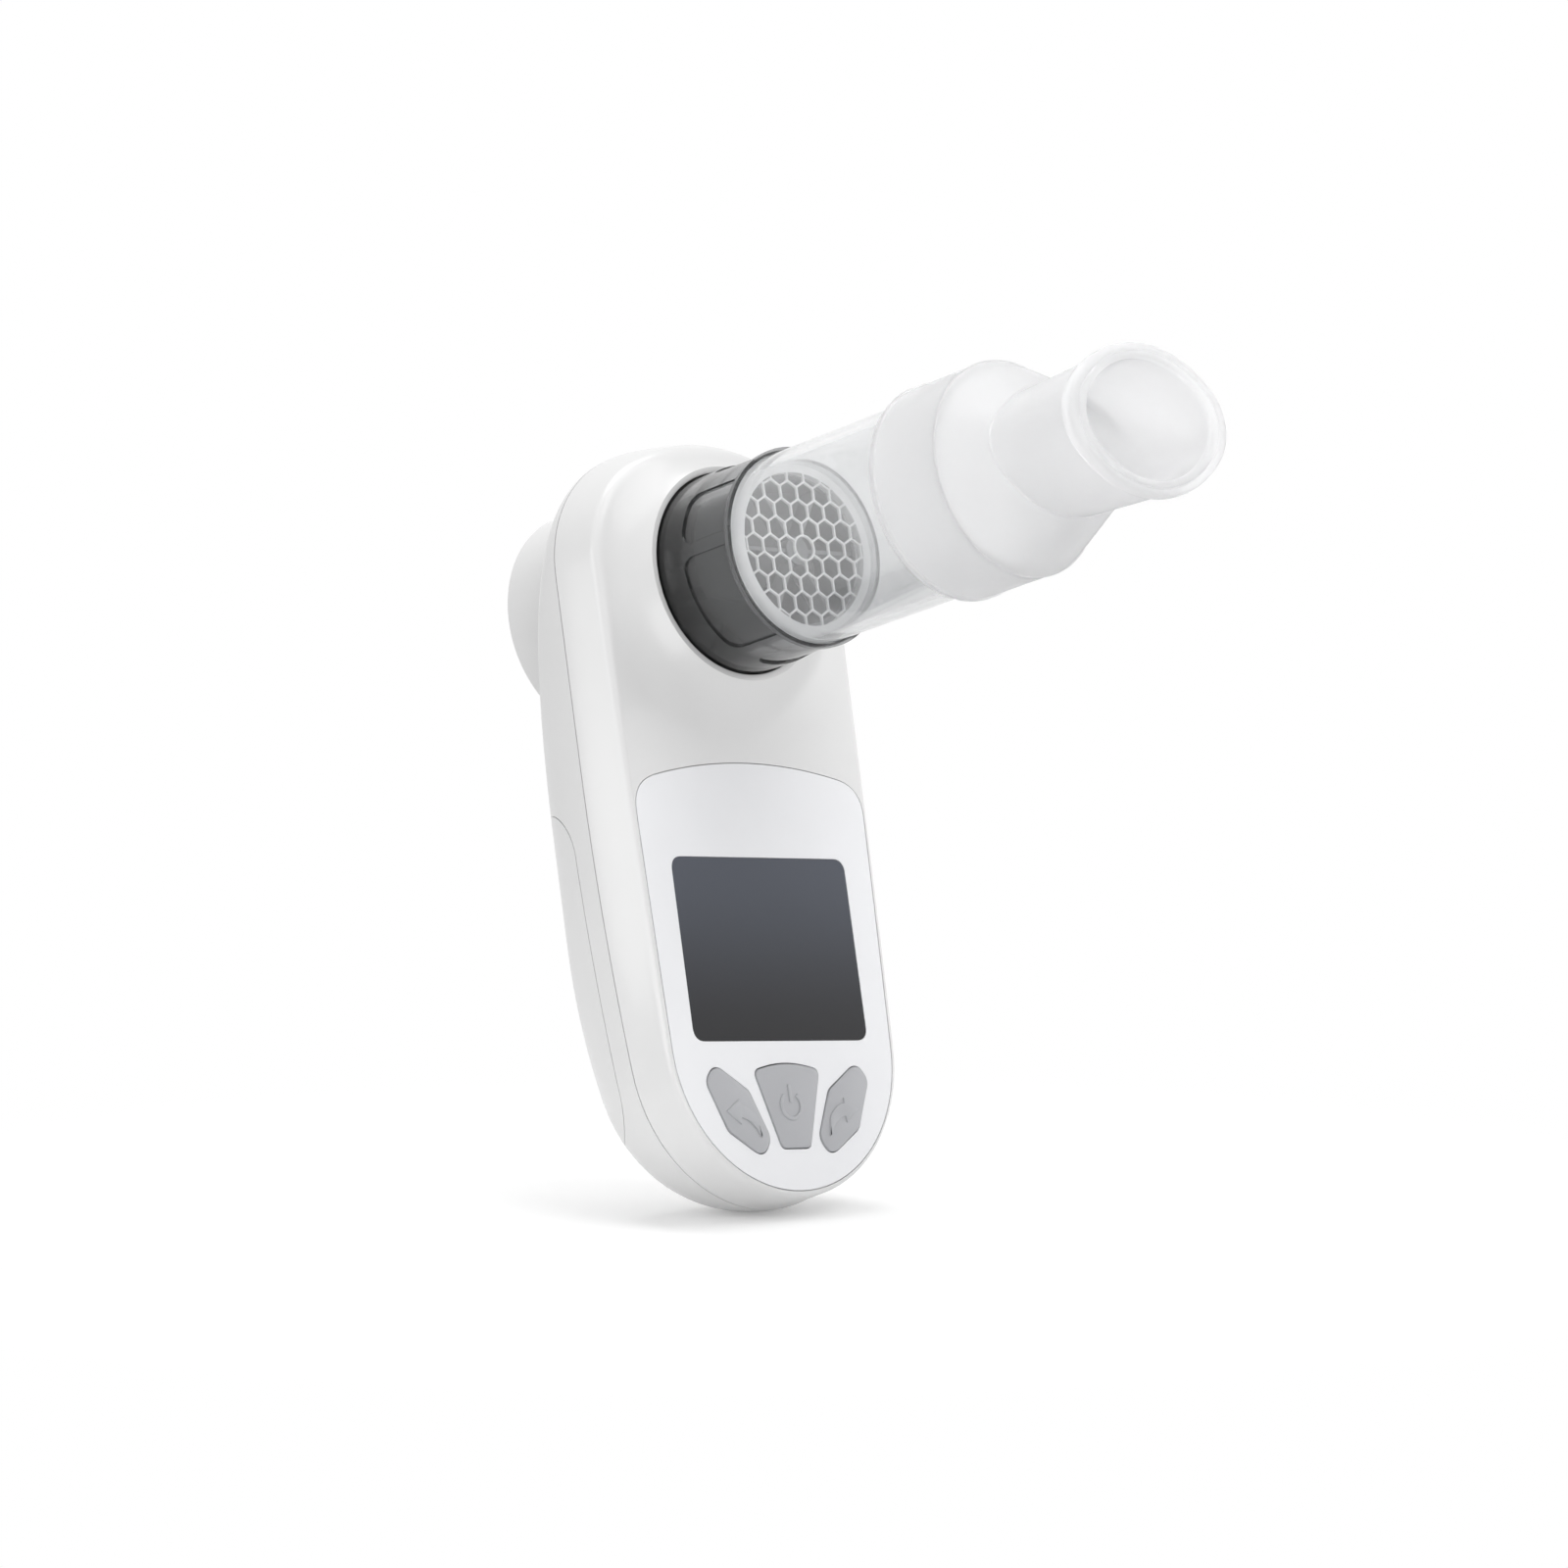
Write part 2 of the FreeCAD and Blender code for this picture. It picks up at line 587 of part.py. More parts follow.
def bay_block(grow, y_low, y_high):
    half = CELL_PITCH / 2 + CELL_RADIUS + CELL_CLEARANCE + grow
    low = CELL_BOTTOM_Z - CONTACT_SPACE - grow
    high = CELL_TOP_Z + CONTACT_SPACE + grow
    return block(-half, half, y_low, y_high, low, high)


def make_rear_shell():
    skin = back_hull(0.0)
    skin = skin.fuse(cylinder(PORT_OUTER_RADIUS, PARTING_DEPTH, EXHAUST_Y))
    shell = skin.cut(back_hull(WALL))
    shell = shell.fuse(cylinder(PORT_OUTER_RADIUS, BOSS_FRONT_Y, EXHAUST_Y - PORT_LENGTH + WALL))
    shell = shell.cut(cylinder(PORT_RADIUS, EXHAUST_Y - PORT_LENGTH, EXHAUST_Y + 1))
    shell = shell.cut(cylinder(socket_outer() + SOCKET_GAP, PARTING_DEPTH - 1, EXHAUST_Y - PORT_LENGTH))
    shell = shell.cut(door_prism(0.0))
    deck = back_hull(0.5).common(door_prism(DOOR_SEAT_GAP + WALL)).common(
        block(-HALF_WIDTH, HALF_WIDTH, DOOR_FRONT_Y - DOOR_SEAT_GAP - BAY_WALL, DOOR_FRONT_Y - DOOR_SEAT_GAP,
              BOTTOM_Z, TOP_Z))
    tray = bay_block(BAY_WALL, BAY_FLOOR_Y, DOOR_FRONT_Y - DOOR_SEAT_GAP)
    room = bay_block(0.0, BAY_FLOOR_Y + BAY_WALL, DOOR_FRONT_Y + BACK_DEPTH)
    shell = shell.fuse([deck, tray]).cut(room)
    for x, z in screw_places():
        seat = screw_seat(z)
        post = cylinder(SCREW_BOSS_RADIUS, seat - BAY_WALL, seat + SCREW_HEAD_HEIGHT, x, z)
        post = post.common(back_hull(WALL / 2))
        shell = shell.fuse(post)
        shell = shell.cut(cylinder(SCREW_RADIUS + SCREW_CLEARANCE, seat - 4, seat + 1, x, z))
        shell = shell.cut(cylinder(SCREW_HEAD_RADIUS + SCREW_CLEARANCE, seat, EXHAUST_Y, x, z))
    return shell.removeSplitter()


def make_battery_door():
    return back_hull(0.0).cut(back_hull(WALL)).common(door_prism(-DOOR_GAP)).removeSplitter()


def socket_outer():
    return CARTRIDGE_RADIUS + SOCKET_GAP + SOCKET_WALL


def make_socket():
    """Sleeve fixed in the body that takes the cartridge and carries the sensors."""
    rear = EXHAUST_Y - PORT_LENGTH
    sleeve = tube(socket_outer(), CARTRIDGE_RADIUS + SOCKET_GAP, SHOULDER_SEAT_Y + SOCKET_GAP, rear)
    lip = tube(CARTRIDGE_RADIUS + SOCKET_GAP, FLOW_RADIUS, CARTRIDGE_END_Y + SOCKET_GAP, rear)
    window = cylinder_x(SENSOR_LENS_RADIUS + SENSOR_GAP, -HALF_WIDTH, HALF_WIDTH, SENSOR_Y, 0.0)
    return sleeve.fuse(lip).cut(window).removeSplitter()


def cylinder_x(radius, x_start, x_end, y, z):
    return Part.makeCylinder(radius, x_end - x_start, V(x_start, y, z), V(1, 0, 0))


def make_sensor(side):
    """Side-looking optical package with a small lens that faces the flow."""
    inner = socket_outer() + SENSOR_GAP
    body = block(inner, inner + SENSOR_DEPTH, SENSOR_Y - SENSOR_WIDTH / 2, SENSOR_Y + SENSOR_WIDTH / 2,
                 -SENSOR_HEIGHT / 2, SENSOR_HEIGHT / 2)
    lens = cylinder_x(SENSOR_LENS_RADIUS, inner - 1.2, inner, SENSOR_Y, 0.0)
    sensor = body.fuse(lens)
    return sensor if side > 0 else mirrored(sensor)


def make_sensor_board():
    """Horseshoe board round the socket, open at the top."""
    front = SENSOR_Y + SENSOR_WIDTH / 2
    inner = socket_outer() + SENSOR_GAP
    ring = tube(inner + SENSOR_BOARD_RIM, inner, front, front + SENSOR_BOARD_THICKNESS)
    upper = block(-HALF_WIDTH, HALF_WIDTH, front - 1, front + SENSOR_BOARD_THICKNESS + 1,
                  SENSOR_HEIGHT / 2 + 1, TOP_Z)
    return ring.cut(upper)


def make_panel():
    panel = panel_plate(0, PANEL_THICKNESS, 0.0)
    panel = panel.cut(screen_block(0.0, -1, 2 + PANEL_THICKNESS))
    gaps = [side_block(-1, 2 + WALL, BUTTON_GAP), mirrored(side_block(-1, 2 + WALL, BUTTON_GAP)),
            power_block(-1, 2 + WALL, BUTTON_GAP)]
    return panel.cut(Part.makeCompound(gaps))


def make_window():
    """Clear pane, flush with the panel and stepped behind its edge."""
    pane = screen_block(-0.05, 0.05, WINDOW_THICKNESS)
    step = screen_block(WINDOW_LEDGE / 2 - 0.05, PANEL_THICKNESS, WINDOW_THICKNESS - PANEL_THICKNESS + 0.05)
    return pane.fuse(step).removeSplitter()


def make_lcd():
    """Glass and backlight stack with the driver ledge at its foot."""
    half_x = SCREEN_WIDTH / 2 + LCD_MARGIN_X
    low = SCREEN_CENTRE_Z - SCREEN_HEIGHT / 2
    high = SCREEN_CENTRE_Z + SCREEN_HEIGHT / 2 + LCD_MARGIN_Z
    frame = block(-half_x, half_x, LCD_FRONT_Y, BOARD_FRONT_Y, low - LCD_MARGIN_Z, high)
    glass = block(-half_x + 1.2, half_x - 1.2, LCD_FRONT_Y - 0.35, LCD_FRONT_Y, low - 1, high - 1)
    glass = glass.common(screen_block(WINDOW_LEDGE / 2 - 0.1, 0, LCD_FRONT_Y))
    return frame.fuse(glass).removeSplitter()


def make_board():
    inset = WALL + BOARD_EDGE_GAP
    board = pad_of(case_outline(BOARD_FRONT_Y, inset + 0.6, inset, inset), BOARD_THICKNESS)
    board = board.cut(block(-HALF_WIDTH, HALF_WIDTH, 0, EXHAUST_Y, BOARD_TOP_Z, TOP_Z + 1))
    x, z = LOWER_SCREW
    for side in (-x, x):
        board = board.cut(cylinder(SCREW_BOSS_RADIUS + 0.4, 0, EXHAUST_Y, side, z))
    return board


def make_chip():
    half = CHIP_SIZE / 2
    return block(CHIP_X - half, CHIP_X + half, BOARD_BACK_Y, BOARD_BACK_Y + CHIP_THICKNESS,
                 UPPER_PARTS_Z - half, UPPER_PARTS_Z + half)


def make_buzzer():
    can = cylinder(BUZZER_RADIUS, BOARD_BACK_Y, BOARD_BACK_Y + BUZZER_HEIGHT, BUZZER_X, UPPER_PARTS_Z)
    return can.cut(cylinder(0.8, BOARD_BACK_Y + 1, BOARD_BACK_Y + BUZZER_HEIGHT + 1, BUZZER_X, UPPER_PARTS_Z))


def make_cell(side):
    """Round cell with its tip up on the right and down on the left."""
    x = side * CELL_PITCH / 2
    body = Part.makeCylinder(CELL_RADIUS, CELL_LENGTH, V(x, CELL_Y, CELL_BOTTOM_Z), V(0, 0, 1))
    tip = Part.makeCylinder(CELL_TIP_RADIUS, CELL_TIP_LENGTH, V(x, CELL_Y, CELL_BOTTOM_Z + CELL_LENGTH), V(0, 0, 1))
    cell = body.fuse(tip)
    if side < 0:
        cell.rotate(V(x, CELL_Y, (CELL_TOP_Z + CELL_BOTTOM_Z) / 2), V(0, 1, 0), 180)
    return cell


def make_contacts(end):
    """Plate across the bay with a raised pad against each cell; end is 1 above, -1 below."""
    half = CELL_PITCH / 2 + CELL_RADIUS
    wall_z = CELL_TOP_Z + CONTACT_SPACE
    if end < 0:
        wall_z = CELL_BOTTOM_Z - CONTACT_SPACE
    low, high = sorted((wall_z, wall_z - end * CONTACT_THICKNESS))
    plates = []
    spans = [(-half, half)] if end > 0 else [(-half, -0.6), (0.6, half)]
    for start, stop in spans:
        plates.append(block(start, stop, CELL_Y - CONTACT_HALF_HEIGHT, CELL_Y + CONTACT_HALF_HEIGHT, low, high))
    reach = CONTACT_SPACE - CONTACT_THICKNESS
    for x in (-CELL_PITCH / 2, CELL_PITCH / 2):
        start_z = wall_z - end * CONTACT_THICKNESS
        low_z, high_z = sorted((start_z, start_z - end * reach))
        half = CONTACT_PAD / 2
        plates.append(block(x - half, x + half, CELL_Y - half, CELL_Y + half, low_z, high_z))
    joined = plates[0]
    for piece in plates[1:]:
        joined = joined.fuse(piece)
    return joined.removeSplitter()


def make_screws():
    solids = []
    for x, z in screw_places():
        seat = screw_seat(z)
        tip = PARTING_DEPTH - SCREW_BITE
        head = cylinder(SCREW_HEAD_RADIUS, seat, seat + SCREW_HEAD_HEIGHT, x, z)
        shank = cylinder(SCREW_RADIUS - 0.02, tip, seat, x, z)
        arm = SCREW_RECESS / 2
        web = SCREW_RECESS / 6
        floor = seat + SCREW_HEAD_HEIGHT / 2
        top = seat + SCREW_HEAD_HEIGHT
        recess = block(x - arm, x + arm, floor, top, z - web, z + web)
        recess = recess.fuse(block(x - web, x + web, floor, top, z - arm, z + arm))
        solids.append(head.fuse(shank).cut(recess).removeSplitter())
    return Part.makeCompound(solids)


def pad_cut(start, sweep):
    """Shallow sector sunk into the grip, rounded at its closed end."""
    inner = GRIP_RADIUS - PAD_DEPTH
    outer = GRIP_RADIUS + 1
    rear = PAD_CLOSED_END_Y
    front = GRIP_FRONT_Y + RIM_BAND
    wire = Part.makePolygon([V(inner, front, 0), V(outer, front, 0), V(outer, rear, 0), V(inner, rear, 0),
                             V(inner, front, 0)])
    sector = Part.Face(wire).revolve(V(0, 0, 0), V(0, 1, 0), -sweep)
    corners = [edge for edge in sector.Edges if abs(edge.BoundBox.YMin - rear) < 0.01
               and edge.BoundBox.YLength < 0.01 and abs(edge.Length - (outer - inner)) < 0.01]
    sector = sector.makeFillet(PAD_CORNER_RADIUS, corners)
    sector.rotate(V(0, 0, 0), V(0, 1, 0), -start)
    return sector


def make_cartridge():
    """Smoked turbine housing: grip in front, plug behind, stepped bore through it."""
    lip = TUBE_RADIUS + TUBE_FIT
    body = spun([(GRIP_FRONT_Y, lip), (GRIP_FRONT_Y, GRIP_RADIUS), (SHOULDER_SEAT_Y, GRIP_RADIUS),
                 (SHOULDER_SEAT_Y, CARTRIDGE_RADIUS), (CARTRIDGE_END_Y, CARTRIDGE_RADIUS),
                 (CARTRIDGE_END_Y, FLOW_RADIUS), (TUBE_SEAT_Y, FLOW_RADIUS), (TUBE_SEAT_Y, lip)])
    cuts = []
    for start, sweep in PAD_SECTORS:
        cuts += [pad_cut(start, sweep), pad_cut(start + 180, sweep)]
    body = body.cut(Part.makeCompound(cuts))
    middle = SHOULDER_SEAT_Y + SEAL_FROM_SHOULDER
    groove = tube(CARTRIDGE_RADIUS + 1, seal_floor(), middle - SEAL_WIDTH / 2, middle + SEAL_WIDTH / 2)
    return body.cut(groove)


def make_seal():
    """Square-section ring, a little proud of its groove."""
    middle = SHOULDER_SEAT_Y + SEAL_FROM_SHOULDER
    return tube(CARTRIDGE_RADIUS + SOCKET_GAP - SEAL_GAP, seal_floor(), middle - SEAL_WIDTH / 2,
                middle + SEAL_WIDTH / 2)


def seal_floor():
    return CARTRIDGE_RADIUS - SEAL_DEPTH


def make_flow_screen():
    """Honeycomb straightener with a plain rim and a round eye at its centre."""
    front = TUBE_SEAT_Y - SCREEN_THICKNESS
    disc = cylinder(TUBE_BORE - TUBE_FIT, front, TUBE_SEAT_Y)
    pitch = CELL_ACROSS_FLATS + CELL_WEB
    row_pitch = pitch * math.sqrt(3) / 2
    corner = CELL_ACROSS_FLATS / math.sqrt(3)
    rows = int(FLOW_RADIUS / row_pitch) + 1
    columns = int(FLOW_RADIUS / pitch) + 2
    cells = [cylinder(HUB_EYE_RADIUS, front, TUBE_SEAT_Y)]
    field = cylinder(FLOW_RADIUS, front, TUBE_SEAT_Y)
    for row in range(-rows, rows + 1):
        for column in range(-columns, columns + 1):
            x = (column + (row % 2) / 2) * pitch
            z = row * row_pitch
            reach = math.hypot(x, z)
            if reach < 0.1 or reach > FLOW_RADIUS + corner * 0.55:
                continue
            points = []
            for step in range(7):
                px, pz = polar(corner, 30 + 60 * step)
                points.append(V(x + px, front, z + pz))
            prism = Part.Face(Part.makePolygon(points)).extrude(V(0, SCREEN_THICKNESS, 0))
            if reach + corner > FLOW_RADIUS:
                prism = prism.common(field)
            cells.append(prism)
    return disc.cut(Part.makeCompound(cells))


def bent_vane(front, length, hand):
    """Turning vane: a strip that lies along the flow and then leans across it."""
    half = GUIDE_VANE_THICKNESS / 2
    bend = length * GUIDE_BEND_SHARE
    lean = (length - bend) * math.tan(math.radians(GUIDE_LEAN)) * hand
    entry, turn, leave = (front, front + bend, front + length)
    if hand < 0:
        entry, turn, leave = (front + length, front + length - bend, front)
    near = (entry, turn, leave)
    offsets = (0.0, 0.0, lean)
    points = [V(GUIDE_HUB_RADIUS / 2, y, z + half) for y, z in zip(near, offsets)]
    points += [V(GUIDE_HUB_RADIUS / 2, y, z - half) for y, z in zip(near[::-1], offsets[::-1])]
    return Part.Face(Part.makePolygon(points + [points[0]])).extrude(V(FLOW_RADIUS, 0, 0))


def make_guide(front, length, hand, bearing_front):
    """Fixed swirl guide: hub, ring and turning vanes, bored for its bearing."""
    back = front + length
    ring = tube(FLOW_RADIUS - GUIDE_FIT, FLOW_RADIUS - GUIDE_FIT - GUIDE_RING, front, back)
    hub = cylinder(GUIDE_HUB_RADIUS, front, back)
    room = cylinder(FLOW_RADIUS - GUIDE_FIT - GUIDE_RING / 2, front, back)
    strip = bent_vane(front + GUIDE_VANE_SETBACK, length - 2 * GUIDE_VANE_SETBACK, hand).common(room)
    vanes = []
    for index in range(GUIDE_VANES):
        copy = strip.copy()
        copy.rotate(V(0, 0, 0), V(0, 1, 0), index * 360 / GUIDE_VANES)
        vanes.append(copy)
    guide = ring.fuse([hub] + vanes)
    guide = guide.cut(cylinder(BEARING_RADIUS, bearing_front, bearing_front + BEARING_LENGTH))
    relief = bearing_front - BEARING_RELIEF if hand > 0 else bearing_front + BEARING_LENGTH
    return guide.cut(cylinder(SHAFT_RADIUS + SHAFT_RELIEF, relief, relief + BEARING_RELIEF)).removeSplitter()


def bearing_places():
    """Front faces of the two bearings, set flush with the guides beside the rotor."""
    return FRONT_GUIDE_Y + FRONT_GUIDE_LENGTH - BEARING_LENGTH, REAR_GUIDE_Y


def make_bearing(front):
    return tube(BEARING_RADIUS, SHAFT_RADIUS + BEARING_GAP, front, front + BEARING_LENGTH)


def make_rotor():
    """Flat vane with a slim collar on the shaft."""
    reach = FLOW_RADIUS - ROTOR_TIP_GAP
    half = ROTOR_THICKNESS / 2
    blade = block(-reach, reach, ROTOR_FRONT_Y, ROTOR_BACK_Y, -half, half)
    collar = cylinder(ROTOR_COLLAR_RADIUS, ROTOR_FRONT_Y - 0.3, ROTOR_BACK_Y + 0.3)
    rotor = blade.fuse(collar).cut(cylinder(SHAFT_RADIUS, ROTOR_FRONT_Y - 1, ROTOR_BACK_Y + 1))
    return rotor.removeSplitter()


def make_shaft():
    front, rear = bearing_places()
    return cylinder(SHAFT_RADIUS, front + BEARING_LENGTH - SHAFT_INSERT, rear + SHAFT_INSERT)


def make_clear_tube():
    return tube(TUBE_RADIUS, TUBE_BORE, TUBE_FRONT_Y, TUBE_SEAT_Y)


def oval(half_width, half_height, y):
    """Oval of four arcs in the XZ plane, wider than it is high."""
    end = half_height - (half_width - half_height) * OVAL_END_BLEND
    end_x = half_width - end
    rise = half_height - end
    side_z = (end_x ** 2 - rise ** 2) / (2 * rise)
    joint = V(end_x, 0, side_z)
    joint.normalize()
    joint = V(end_x, y, 0) + joint * end
    x, z = joint.x, joint.z
    return Part.Wire([arc(V(x, y, -z), V(half_width, y, 0), V(x, y, z)),
                      arc(V(x, y, z), V(0, y, half_height), V(-x, y, z)),
                      arc(V(-x, y, z), V(-half_width, y, 0), V(-x, y, -z)),
                      arc(V(-x, y, -z), V(0, y, -half_height), V(x, y, -z))])


def neck_core():
    """Round shoulder that flattens into the oval neck."""
    wires = [oval(half_width, half_height, y) for y, half_width, half_height in NECK_SECTIONS]
    return Part.makeLoft(wires, True, True)


def make_mouthpiece():
    bore = TUBE_RADIUS + COLLAR_FIT
    shoulder_y = NECK_SECTIONS[0][0]
    root_y = NECK_SECTIONS[-2][0]
    lip_y, tip_half_width, tip_half_height = NECK_SECTIONS[-1]
    lip_end = lip_y - LIP_THICKNESS
    bore_half_width = tip_half_width - MOUTHPIECE_WALL
    bore_half_height = tip_half_height - MOUTHPIECE_WALL
    collar = spun([(COLLAR_REAR_Y, bore), (COLLAR_REAR_Y, COLLAR_RADIUS),
                   (COLLAR_REAR_Y - COLLAR_BEAD, COLLAR_RADIUS),
                   (COLLAR_REAR_Y - COLLAR_BEAD, COLLAR_RADIUS - COLLAR_BEAD_STEP),
                   (shoulder_y, COLLAR_RADIUS - COLLAR_BEAD_STEP), (shoulder_y, bore)])
    lip = Part.Face(oval(LIP_HALF_WIDTH, LIP_HALF_HEIGHT, lip_y)).extrude(V(0, -LIP_THICKNESS, 0))
    rims = [edge for edge in lip.Edges if edge.BoundBox.YLength < 0.01]
    body = collar.fuse([neck_core(), lip.makeChamfer(LIP_CHAMFER, rims)])
    funnel = spun([(shoulder_y, 0.0), (shoulder_y, bore - MOUTHPIECE_WALL / 3),
                   (root_y + MOUTHPIECE_WALL, bore_half_height), (root_y + MOUTHPIECE_WALL, 0.0)])
    hole = Part.Face(oval(bore_half_width, bore_half_height, root_y + FUNNEL_OVERLAP))
    hole = hole.extrude(V(0, lip_end - root_y - FUNNEL_OVERLAP - 1, 0))
    return body.cut(funnel).cut(hole).removeSplitter()


def make_all():
    front_bearing, rear_bearing = bearing_places()
    pieces = {
        "front_shell": make_front_shell(),
        "rear_shell": make_rear_shell(),
        "battery_door": make_battery_door(),
        "display_panel": make_panel(),
        "screen_window": make_window(),
        "lcd_module": make_lcd(),
        "main_board": make_board(),
        "processor_chip": make_chip(),
        "buzzer": make_buzzer(),
        "tact_switches": make_switches(),
        "turbine_socket": make_socket(),
        "sensor_board": make_sensor_board(),
        "light_emitter": make_sensor(-1),
        "light_receiver": make_sensor(1),
        "battery_left": make_cell(-1),
        "battery_right": make_cell(1),
        "upper_contacts": make_contacts(1),
        "lower_contacts": make_contacts(-1),
        "shell_screws": make_screws(),
        "turbine_housing": make_cartridge(),
        "seal_ring": make_seal(),
        "flow_screen": make_flow_screen(),
        "front_swirl_guide": make_guide(FRONT_GUIDE_Y, FRONT_GUIDE_LENGTH, 1, front_bearing),
        "rear_swirl_guide": make_guide(REAR_GUIDE_Y, REAR_GUIDE_LENGTH, -1, rear_bearing),
        "front_bearing": make_bearing(front_bearing),
        "rear_bearing": make_bearing(rear_bearing),
        "rotor_vane": make_rotor(),
        "rotor_shaft": make_shaft(),
        "clear_tube": make_clear_tube(),
        "mouthpiece": make_mouthpiece(),
    }
    pieces.update(make_buttons())
    return pieces


os.makedirs("parts", exist_ok=True)
for name, shape in make_all().items():
    shape.translate(V(0, -EXHAUST_Y, 0))
    print(name, "solids", len(shape.Solids), "valid", shape.isValid(), "volume", round(shape.Volume, 1))
    shape.exportStep("parts/" + name + ".step")
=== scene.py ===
import math

import bmesh
import bpy
from bpy.props import FloatProperty, FloatVectorProperty, PointerProperty
from mathutils import Matrix, Vector


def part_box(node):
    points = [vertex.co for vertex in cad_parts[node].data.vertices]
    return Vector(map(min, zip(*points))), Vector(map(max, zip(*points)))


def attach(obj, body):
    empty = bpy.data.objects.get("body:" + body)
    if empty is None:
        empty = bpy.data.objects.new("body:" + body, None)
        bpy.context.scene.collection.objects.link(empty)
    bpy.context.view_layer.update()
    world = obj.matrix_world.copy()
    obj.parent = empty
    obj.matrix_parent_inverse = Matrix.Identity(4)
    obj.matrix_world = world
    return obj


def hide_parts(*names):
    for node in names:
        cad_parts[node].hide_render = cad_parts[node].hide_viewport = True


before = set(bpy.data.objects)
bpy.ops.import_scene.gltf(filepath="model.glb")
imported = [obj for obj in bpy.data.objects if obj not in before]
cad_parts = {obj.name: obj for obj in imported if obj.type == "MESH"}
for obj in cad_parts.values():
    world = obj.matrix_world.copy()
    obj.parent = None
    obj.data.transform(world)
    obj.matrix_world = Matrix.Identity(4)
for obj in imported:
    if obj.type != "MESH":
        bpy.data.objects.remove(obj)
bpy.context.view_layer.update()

bl_info = {
    "name": "Peak flow meter",
    "version": (1, 0, 0),
    "blender": (4, 5, 0),
    "location": "View3D > Sidebar > Flow meter",
    "description": "Builds a handheld electronic peak flow meter around its construction frame",
    "category": "Object",
}

# Lengths are in metres. The body stands along Z, its display faces -Y and the flow axis is Y itself.
CASE_LOW, CASE_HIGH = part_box("front_shell")
PANEL_LOW, PANEL_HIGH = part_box("display_panel")
MOUTH_LOW, MOUTH_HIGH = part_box("mouthpiece")
TUBE_LOW, TUBE_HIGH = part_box("clear_tube")
BOSS_RIM_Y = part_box("rear_shell")[1].y
SOCKET_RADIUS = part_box("turbine_socket")[1].x
HOUSING_FRONT_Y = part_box("turbine_housing")[0].y
STRAIGHTENER_SEAT_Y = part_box("flow_screen")[1].y
BATTERY_LOW, BATTERY_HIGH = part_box("battery_left")
FACE_Y = PANEL_LOW.y
HALF_WIDTH = CASE_HIGH.x
TOP_Z = CASE_HIGH.z
FOOT_Z = CASE_LOW.z
NOZZLE_TIP_Y = CASE_LOW.y

SHARP_ANGLE = math.radians(32)
RING_STEPS = 160
OVERLAP = 0.001          # how far a cutting tool reaches past what it cuts
HAIRLINE = 0.00003       # gap that keeps two faces of touching pieces apart
SCREW_HEAD_RADIUS = 0.0019
SCREW_HOLE_RADIUS = 0.00205
UPPER_SCREW_X = 0.0172


def length(name, default, description):
    return FloatProperty(name=name, description=description, default=default, unit="LENGTH", precision=5)


def colour(name, default, description):
    return FloatVectorProperty(name=name, description=description, default=default, subtype="COLOR",
                               min=0.0, max=1.0)


class FlowMeterCase(bpy.types.PropertyGroup):
    """Sizes of the two body halves."""

    parting_depth: length("Seam depth", 0.0082, "From the display face back to the seam of the two halves")
    band_width: length("Band width", 0.002, "Width of the upright band in front of the seam")
    band_inset: length("Band inset", 0.00025, "How far the band's front edge is drawn in")
    crown_radius: length("Crown radius", 0.034, "Radius of the body's top")
    corner_radius: length("Corner radius", 0.020, "Radius of the body's upper corners")
    foot_radius: length("Foot radius", 0.0239, "Radius of the body's foot")
    side_straight: length("Straight side", 0.0294, "Straight stretch of each side at the seam")
    face_inset: length("Face inset", 0.0014, "How far the face is drawn in at the sides and top")
    face_foot_inset: length("Face foot inset", 0.0007, "How far the face is drawn in at the foot")
    side_lean: FloatProperty(name="Side lean", description="Share of the taper that makes the face's sides straight",
                             default=0.85, min=0.0, max=1.0)
    edge_start: length("Edge start", 0.0009, "Depth at which the side turns into the face")
    edge_softness: length("Edge softness", 0.0011, "Reach of the rounding round the face")
    nozzle_bore: length("Nozzle bore", 0.01597, "Radius of the bore that takes the turbine")
    nozzle_rim: length("Nozzle rim", 0.01697, "Outer radius of the nozzle's rim")
    nozzle_lip: length("Nozzle lip", 0.00025, "Rounding of the nozzle's rim")
    nozzle_floor: length("Nozzle floor", 0.0024, "Depth of the nozzle's bore behind the face")
    flare_radius: length("Flare radius", 0.014, "Radius of the hollow curve from the nozzle to the face")
    back_depth: length("Back depth", 0.0148, "Depth of the rear half")
    back_round: length("Back rounding", 0.008, "How far the sides of the rear half are drawn in")
    back_top_slope: length("Back top slope", 0.093, "How far the top of the rear half is drawn down")
    back_foot_slope: length("Back foot slope", 0.0095, "How far the foot of the rear half is drawn up")
    back_edge: length("Back edge", 0.004, "Radius round the flat of the back")
    wall: length("Wall", 0.002, "Wall thickness of the body")
    boss_radius: length("Boss radius", 0.018, "Outer radius of the exhaust boss")
    port_radius: length("Port radius", 0.0153, "Radius of the exhaust port")
    port_length: length("Port length", 0.009, "Length of the exhaust port")
    collar_setback: length("Collar setback", 0.0036, "From the seam to the collar round the turbine's socket")
    upper_hole_depth: length("Upper hole depth", 0.012, "From the display face to the floor of the upper screw holes")
    seam_gap: length("Seam gap", 0.0002, "Width of the fine gap between two mouldings")
    seam_depth: length("Seam rebate", 0.0007, "Depth of the gap between the two halves")


